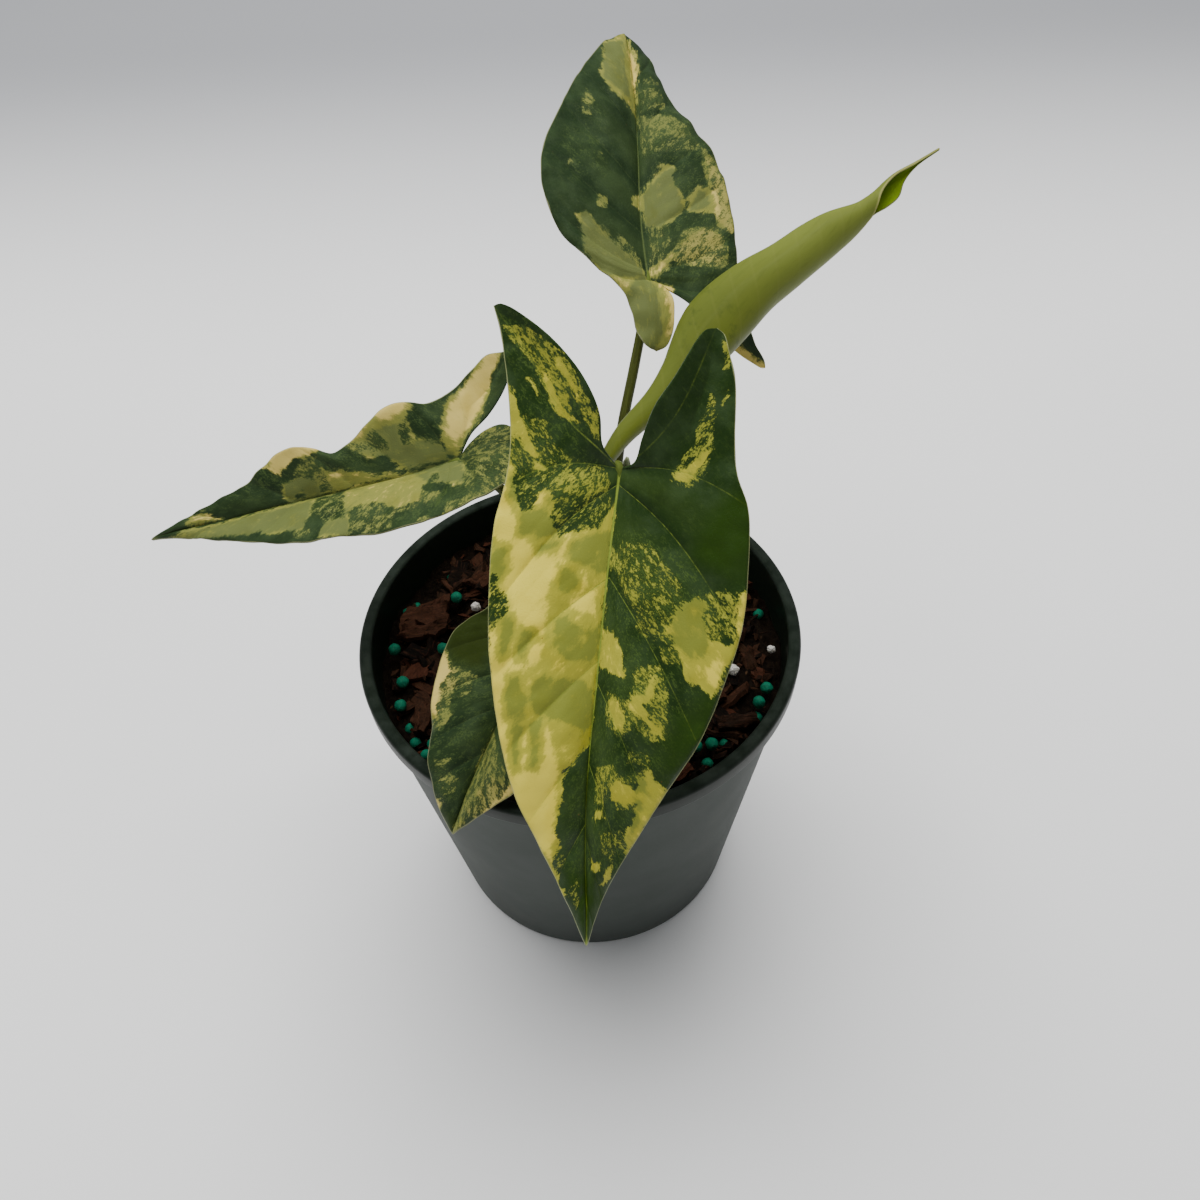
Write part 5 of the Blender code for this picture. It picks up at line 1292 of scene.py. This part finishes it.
def build_petioles(material):
    """Stalks that sway in thickness, swell at the foot, and thin into a midrib at the knee."""
    shares = 1 - (1 - np.linspace(0, 1, STALK_ROWS)) ** 1.35
    for name, (route, foot, crown) in PETIOLES.items():
        line = curve_through(route)
        left = (1 - shares) * run_of(line)[1]
        sway = np.array([lump(share * 9, foot, 3.1) for share in shares])
        radii = (crown + (foot - crown) * (1 - shares) ** 2.2) * (1 + STALK_SWAY * sway)
        knee = 0 * left
        if name != "new_petiole":
            radii *= 0.25 + 0.75 * np.clip(left / KNEE, 0, 1) ** 0.8
            knee = np.clip((1.7 * KNEE - left) / KNEE, 0, 1)
        stalk = tube(name + "_stalk", at_shares(line, shares), radii, material, knee,
                     STALK_SIDES, STALK_GROOVE)
        dress(stalk, "petiole", name)


def build_stem(material):
    """The short stem, with its rings where leaves have stood."""
    radii, heights = curve_through(STEM_PROFILE, 8)[::-1].T
    centres = stacked(*STEM_AXIS, heights)
    stem = tube("stem_nodes", centres, radii, material, 0 * radii, STEM_SIDES)
    dress(stem, "petiole", "stem")


def build_sheath(material):
    """A channel that narrows to its point, turns as it does, and has rolled margins."""
    shares = np.linspace(0, 1, SHEATH_ROWS)
    share = shares[:, None]
    place_across = np.linspace(-1, 1, SHEATH_COLUMNS + 1)
    angle = (0.5 * SHEATH_ARC * (1 - share ** 7) + 0.02) * place_across
    twist = SHEATH_TWIST * np.maximum(0, (share - 0.6) / 0.4) ** 1.5
    out = np.cos(angle) - 1 + 0.2 * np.abs(place_across) ** 3
    side = np.sin(angle)
    offset = stacked(out * np.cos(twist) - side * np.sin(twist),
                     out * np.sin(twist) + side * np.cos(twist), 0.0)
    centres = np.repeat(at_shares(curve_through(SHEATH_ROUTE), shares), SHEATH_COLUMNS + 1, 0)
    layers = {"grain": stacked(angle * SHEATH_RADIUS, share * 48, 5.0),
              "top": np.repeat(shares, SHEATH_COLUMNS + 1), "knee": np.zeros(len(centres))}
    faces = sheet_faces(grid_of(SHEATH_ROWS, SHEATH_COLUMNS + 1))
    sheath = add_mesh("front_sheath_skin", centres + offset * SHEATH_RADIUS, faces, [material],
                      layers)
    thicken(sheath, SHEATH_THICKNESS, 0.0)
    dress(sheath, "sheath", "front_sheath")


def build_new_leaf(outside, inside):
    """The stations' curves give each row of the sheet, which winds inwards as it turns."""
    stations = np.array(NEW_LEAF_STATIONS, float)
    dense = curve_through(stations, 14)
    dense = dense[np.argsort(dense[:, 0])]
    heights = np.linspace(stations[0, 0], stations[-1, 0], ROLL_ROWS)
    rows = columns_at(heights, dense[:, 0], dense)
    y, x, z, width, depth, start, end = rows.T[:, :, None]
    share = np.arange(ROLL_COLUMNS + 1) / ROLL_COLUMNS
    angle = np.radians(start + (end - start) * share)
    turned = angle - np.radians(start)
    scale = 1.0 + 0.07 * np.exp(-share * 14) - ROLL_SHRINK * turned / math.tau
    swell = [[1 + 0.02 * lump(height * 0.12, part * 1.3, 2.0) for part in row]
             for height, row in zip(heights, angle)]
    scale = scale * np.array(swell)
    points = stacked(x + width * scale * np.cos(angle), y, z + depth * scale * np.sin(angle))
    arc = turned * 0.5 * (width + depth)
    spread = 0 * arc
    # Painted light on the lower side, which faces away from the lamp; the share also grows towards the
    # foot.
    warm = 0.5 + 0.55 * np.cos(angle + math.radians(20)) + 0.25 * (1 - y / 50)
    layers = {
        "grain": stacked(arc, y, 3.0),
        "warm": warm.ravel(),
        "edge": np.minimum(arc, 60.0).ravel(),
        "phase": ((y - 0.75 * arc) / 6.5).ravel(),
        "low": (np.maximum(0.0, 1 - np.abs(y - 38) / 14) + spread).ravel(),
        "shaded": (np.cos(math.pi * share * 0.5) ** 2 + spread).ravel(),
    }
    faces = sheet_faces(grid_of(ROLL_ROWS, ROLL_COLUMNS + 1), (1, 0, 3, 2))
    roll = add_mesh("new_leaf_roll", points, faces, [outside, inside], layers)
    place(roll.data, NEW_LEAF_JUNCTION, *NEW_LEAF_ANGLES)
    thicken(roll, ROLL_THICKNESS, -1.0, 1)
    dress(roll, "new_leaf", "new_leaf")


def arc_points(x, y, radius, first, last, count):
    """Points round an arc of the pot's profile, between two angles in degrees."""
    return [(x + radius * math.cos(math.radians(angle)), y + radius * math.sin(math.radians(angle)))
            for angle in np.linspace(first, last, count)]


def wall_radius(height):
    """Outer radius of the pot's tapered wall."""
    share = height / (POT_HEIGHT - RIM_HEIGHT)
    return BASE_RADIUS + (SHOULDER_RADIUS - BASE_RADIUS) * share


def spun(profile, steps):
    """Points of a profile of radii and heights, turned round the pot's axis."""
    radius, height = np.array(profile, float).T[:, :, None]
    angles = math.tau * np.arange(steps) / steps
    return stacked(radius * np.cos(angles), radius * np.sin(angles), height)


def drain_drills():
    """A block of short rods where the drainage holes go."""
    drills = bmesh.new()
    for index in range(DRAIN_COUNT):
        angle = math.tau * (index + 0.5) / DRAIN_COUNT
        shift = Vector((math.cos(angle), math.sin(angle), 0)) * DRAIN_CIRCLE * MM
        bmesh.ops.create_cone(drills, cap_ends=True, segments=DRILL_SIDES,
                              radius1=DRAIN_RADIUS * MM, radius2=DRAIN_RADIUS * MM,
                              depth=DRILL_LENGTH * MM, matrix=Matrix.Translation(shift))
    mesh = bpy.data.meshes.new("drain_drills")
    drills.to_mesh(mesh)
    drills.free()
    return link("drain_drills", mesh)


def build_pot(material):
    """One moulding: floor, inner wall, rolled rim, outer wall, foot and underside."""
    rim_inner = RIM_RADIUS - RIM_WIDTH
    rim_foot = POT_HEIGHT - RIM_HEIGHT
    corner = BASE_RADIUS - WALL
    profile = [(r, FLOOR) for r in np.linspace(0.0, corner - 2.4, 12)]
    profile += arc_points(corner - 1.9, FLOOR + 1.9, 1.9, -80, -8, 5)
    profile += [(wall_radius(h) - WALL, h) for h in np.linspace(3.4, rim_foot - 2, 26)]
    profile += [(rim_inner - 0.2, rim_foot + 0.6), (rim_inner, rim_foot + 1.6)]
    profile += arc_points(rim_inner + 0.9, POT_HEIGHT - 0.9, 0.9, 180, 90, 6)
    profile += arc_points(RIM_RADIUS - 1.1, POT_HEIGHT - 1.1, 1.1, 88, 0, 7)
    profile += [(RIM_RADIUS - 0.1, rim_foot + 2.4)]
    profile += arc_points(RIM_RADIUS - 0.75, rim_foot + 0.6, 0.6, 0, -90, 5)
    profile += arc_points(SHOULDER_RADIUS + 0.45, rim_foot - 0.45, 0.45, 90, 170, 4)
    profile += [(wall_radius(h), h) for h in np.linspace(rim_foot - 0.8, 1.6, 30)]
    profile += arc_points(BASE_RADIUS - 1.1, 1.2, 1.2, -5, -88, 6)
    profile += [(r, 0.0) for r in np.linspace(BASE_RADIUS - 2.2, 0.0, 12)]
    radius, height = np.array(profile).T
    near_rim = np.exp(-(height - POT_HEIGHT) ** 2)
    near_lip = np.exp(-((height - rim_foot - 0.2) / 0.5) ** 2) * (radius > SHOULDER_RADIUS)
    near_foot = np.exp(-(height / 0.9) ** 2) * (radius > BASE_RADIUS - 2)
    worn = np.minimum(1.0, near_rim + near_lip + near_foot)
    wall = (radius > wall_radius(height) - 0.1) & (height < rim_foot + 0.2)
    layers = {"worn": np.repeat(worn, POT_STEPS), "wall": np.repeat(wall, POT_STEPS)}
    faces = sheet_faces(grid_of(len(profile), POT_STEPS), closed=True)
    pot = add_mesh("pot_moulding", spun(profile, POT_STEPS), faces, [material], layers)
    weld = bmesh.new()
    weld.from_mesh(pot.data)
    bmesh.ops.remove_doubles(weld, verts=weld.verts, dist=0.01 * MM)
    bmesh.ops.recalc_face_normals(weld, faces=weld.faces)
    weld.to_mesh(pot.data)
    weld.free()
    drill = drain_drills()
    boolean = pot.modifiers.new("Drain holes", "BOOLEAN")
    boolean.operation = "DIFFERENCE"
    boolean.object = drill
    bpy.context.view_layer.update()
    evaluated = pot.evaluated_get(bpy.context.evaluated_depsgraph_get())
    cut = bpy.data.meshes.new_from_object(evaluated)
    pot.modifiers.clear()
    pot.data = cut
    bpy.data.objects.remove(drill, do_unlink=True)
    cut.shade_smooth()
    cut.set_sharp_from_angle(angle=math.radians(SHARP_POT))
    dress(pot, "pot", "pot")


def mix_height(x, y):
    """Height of the uneven top of the mix at a place, in millimetres."""
    lumps = lump(x * 0.11, y * 0.11, 1.0)
    crumbs = lump(x * 0.42, y * 0.42, 5.0)
    fine = lump(x * 1.1, y * 1.1, 9.0)
    return MIX_TOP - 1.4 + 1.5 * lumps + 1.2 * crumbs + 0.6 * fine


def build_mix(material):
    """A closed body: rings of an uneven top, then the wall down to the pot's floor."""
    top_radius = wall_radius(MIX_TOP) - WALL - 0.05
    points = [(0.0, 0.0, mix_height(0, 0))]
    for ring in range(1, MIX_RINGS + 1):
        radius = top_radius * ring / MIX_RINGS
        for step in range(MIX_STEPS):
            angle = math.tau * (step + 0.5 * (ring % 2)) / MIX_STEPS
            x = radius * math.cos(angle)
            y = radius * math.sin(angle)
            points.append((x, y, mix_height(x, y)))
    foot = FLOOR + 0.3
    profile = [(wall_radius(height) - WALL - 0.2, height) for height in (60.0, 40.0, 20.0)]
    profile.append((wall_radius(foot) - WALL - 2.0, foot))
    points = np.vstack([points, spun(profile, MIX_STEPS)])
    index = 1 + grid_of(MIX_RINGS + len(profile), MIX_STEPS)
    inmost = index[0].tolist()
    faces = [[0, first, after] for first, after in zip(inmost, inmost[1:] + inmost[:1])]
    faces += sheet_faces(index, (0, 3, 2, 1), closed=True)
    faces.append(index[-1].tolist()[::-1])
    body = add_mesh("potting_mix_body", points, faces, [material], {})
    dress(body, "potting_mix", "potting_mix")


def block_shell(cuts):
    """The corners of a block cut along its three axes, from -1 to 1, and its outer faces."""
    one_way = ((0, 0), (1, 0), (1, 1), (0, 1))
    other_way = ((0, 0), (0, 1), (1, 1), (1, 0))
    sides = (
        (0, 1, ((cuts[2], one_way), (0, other_way))),
        (0, 2, ((0, one_way), (cuts[1], other_way))),
        (1, 2, ((0, other_way), (cuts[0], one_way))),
    )
    corners = {}
    faces = []
    for across, up, ends in sides:
        for i in range(cuts[across]):
            for j in range(cuts[up]):
                for end, order in ends:
                    face = []
                    for more_i, more_j in order:
                        corner = [end] * 3
                        corner[across] = i + more_i
                        corner[up] = j + more_j
                        face.append(corners.setdefault(tuple(corner), len(corners)))
                    faces.append(face)
    return 2 * np.array(list(corners)) / cuts - 1, faces


def rough_block(rng, length, width, thick, cuts):
    """A torn, layered block of bark: points about its own centre, and faces."""
    unit, faces = block_shell(cuts)
    seed = rng.uniform(0, 90)
    skew = rng.uniform(-0.35, 0.35)
    taper = rng.uniform(0.55, 1.0)
    shaped = unit.copy()
    shaped[:, 1] *= np.interp(unit[:, 0], [-1, 1], [taper, 1.0])
    shaped[:, 0] += skew * unit[:, 1]
    shaped[:, 2] *= 1 - 0.35 * np.maximum(np.abs(unit[:, 0]), np.abs(unit[:, 1])) ** 4
    shaped *= np.array([length, width, thick]) / 2
    for index, (x, y, z) in enumerate(shaped):
        tear = lump(x * 1.6, y * 1.6, z * 2 + seed)
        shaped[index] += (0.13 * width * lump(x * 0.5, y * 0.5, seed),
                          0.2 * width * lump(x * 0.5, y * 0.5, seed + 9),
                          0.45 * thick * lump(x * 0.45, y * 0.9, seed + 5) + 0.22 * thick * tear)
    return shaped, faces


def build_chips(material):
    """Each bark chip of the frame becomes a torn, layered piece in the same place."""
    rng = random.Random(CHIP_SEED)
    for name in sorted(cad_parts):
        if not name.startswith("bark_chip"):
            continue
        low, high = (Vector(corner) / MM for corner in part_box(name))
        flat = np.array([tuple(vert.co.xy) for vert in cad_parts[name].data.vertices]) / MM
        flat -= flat.mean(axis=0)
        _, _, ways = np.linalg.svd(flat, full_matrices=False)
        length, width = np.ptp(flat @ ways.T, axis=0)
        block, faces = rough_block(rng, length, width, (high.z - low.z) * 0.95, CHIP_CUTS)
        turn = Matrix.Rotation(math.atan2(ways[0][1], ways[0][0]), 3, "Z")
        points = [turn @ Vector(point) + (low + high) / 2 for point in block]
        layers = {"grain": block + rng.uniform(0, 60),
                  "tone": np.full(len(block), rng.uniform(0.25, 1.0))}
        chip = add_mesh(name.replace("bark_chip", "bark"), points, faces, [material], layers,
                        SHARP_CHIP)
        dress(chip, "bark", name)


def build_crumbs(material):
    """Small bark and peat pieces over the whole top of the mix, joined into one piece."""
    rng = random.Random(CRUMB_SEED)
    points = []
    faces = []
    grain = []
    tone = []
    for _ in range(CRUMB_COUNT):
        length = rng.choice(CRUMB_LENGTHS) * rng.uniform(0.8, 1.2)
        radius = (MIX_RADIUS - 0.62 * length) * math.sqrt(rng.random())
        angle = rng.uniform(0, math.tau)
        x = radius * math.cos(angle)
        y = radius * math.sin(angle)
        width = length * rng.choice(CRUMB_WIDTHS)
        thick = min(width, 2.2) * rng.uniform(0.5, 0.95)
        block, made = rough_block(rng, length, width, thick, CRUMB_CUTS)
        tip = 0.6 if length < 3 else 0.34
        turn = (Matrix.Rotation(rng.uniform(0, math.tau), 3, "Z")
                @ Matrix.Rotation(rng.gauss(0, tip), 3, "X")
                @ Matrix.Rotation(rng.gauss(0, tip), 3, "Y"))
        centre = Vector((x, y, mix_height(x, y) + rng.uniform(-0.2, 1.3)))
        shade = min(1.0, max(0.0, rng.gauss(0.36, 0.32)))
        start = len(points)
        points += [turn @ Vector(point) + centre for point in block]
        grain.append(block + start % 97)
        tone.append(np.full(len(block), shade))
        faces += [[corner + start for corner in face] for face in made]
    layers = {"grain": np.concatenate(grain), "tone": np.concatenate(tone)}
    crumbs = add_mesh("potting_mix_crumbs", points, faces, [material], layers, SHARP_CRUMB)
    dress(crumbs, "potting_mix")


def bead(name, centre, radius, lumps, seed, material, detail=4):
    """A lumpy round grain, its centre in metres and its radius in millimetres."""
    ball = bmesh.new()
    bmesh.ops.create_icosphere(ball, subdivisions=detail, radius=radius * MM)
    for vert in ball.verts:
        away = vert.co.normalized()
        push = noise.noise(away * 1.6 + Vector((seed, 0, 0)))
        push += 0.4 * noise.noise(away * 4.5 + Vector((0, seed, 0)))
        vert.co *= 1 + lumps * push
    mesh = bpy.data.meshes.new(name)
    ball.to_mesh(mesh)
    ball.free()
    mesh.shade_smooth()
    mesh.materials.append(material)
    obj = link(name, mesh)
    obj.location = centre
    return obj


def build_grains(prill, perlite):
    """Fertiliser beads and perlite in the places of the frame's own, then the loose beads."""
    kinds = {"fertiliser_prill": ("prill", "_bead", PRILL_SHARE, PRILL_LUMPS, prill),
             "perlite": ("perlite", "_grain", 1.0, PERLITE_LUMPS, perlite)}
    for name in sorted(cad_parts):
        if name[:-3] not in kinds:
            continue
        slot, ending, share, lumps, material = kinds[name[:-3]]
        low, high = (Vector(corner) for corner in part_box(name))
        radius = (high.x - low.x) / 2 / MM * share
        piece = name.replace("fertiliser_", "") + ending
        grain = bead(piece, (low + high) / 2, radius, lumps, int(name[-2:]) * 7, material)
        dress(grain, slot, name)
    for index, (x, y) in enumerate(LOOSE_PRILLS, start=1):
        centre = Vector((x, y, mix_height(x, y) + 0.8)) * MM
        grain = bead(f"prill_loose_{index:02d}", centre, LOOSE_PRILL_RADIUS, PRILL_LUMPS,
                     index * 3, prill, 3)
        dress(grain, "prill")


def build_stage(material):
    """A pale floor that runs on past every view of the pot."""
    reach = (-FLOOR_REACH, FLOOR_REACH)
    corners = [(x, y, FLOOR_LEVEL) for y in reach for x in reach]
    floor = add_mesh("studio_floor", corners, [[0, 1, 3, 2]], [material], {})


def build_lights():
    """A pale sky round everything, and soft lamps that leave no glints."""
    world = bpy.data.worlds.new("studio")
    world.use_nodes = True
    background = world.node_tree.nodes["Background"]
    background.inputs["Color"].default_value = WORLD_COLOUR
    background.inputs["Strength"].default_value = WORLD_STRENGTH
    bpy.context.scene.world = world
    for name, (place_at, aim, size, power) in LIGHTS.items():
        light = bpy.data.lights.new(name, "AREA")
        light.shape = "RECTANGLE"
        light.size, light.size_y = (side * MM for side in size)
        light.energy = power
        lamp = link(name, light)
        lamp.location = Vector(place_at) * MM
        lamp.rotation_euler = (Vector(aim) - Vector(place_at)).to_track_quat("-Z", "Y").to_euler()
        lamp.visible_glossy = False


def build_camera():
    """The photograph's view: from the front, looking steeply down."""
    camera = bpy.data.cameras.new("camera")
    camera.lens = CAMERA_LENS
    camera.sensor_width = CAMERA_SENSOR
    camera.clip_start, camera.clip_end = CAMERA_CLIP
    rig = link("camera", camera)
    rig.matrix_world = (Matrix.Translation(Vector(CAMERA_PLACE) * MM)
                        @ Matrix.Rotation(math.radians(CAMERA_TILT), 4, "X")
                        @ Matrix.Rotation(math.radians(CAMERA_ROLL), 4, "Z"))
    bpy.context.scene.camera = rig


build_camera()
build_lights()
build_stage(backdrop_paint())
near = leaf_paint("leaf_upper_front", FRONT_PALETTE, 1.2, 0.14)
far = leaf_paint("leaf_upper_rear", REAR_PALETTE, 0.7, 0.4)
under = underside_paint()
for order, leaf_name in enumerate(LEAVES, start=1):
    upper = near if leaf_name == "front_leaf" else far
    build_leaf(leaf_name, LEAVES[leaf_name], upper, under, order)
build_new_leaf(shoot_paint(), shoot_inside_paint())
build_petioles(stalk_paint("petiole_skin", STALK, STALK_PALE))
build_stem(stalk_paint("stem_skin", STEM_GREEN, STALK_PALE))
build_sheath(stalk_paint("sheath_skin", SHEATH_GREY, SHEATH_TIP))
build_pot(pot_paint())
build_mix(mix_paint())
bark = bark_paint()
build_chips(bark)
build_crumbs(bark)
build_grains(prill_paint(), perlite_paint())
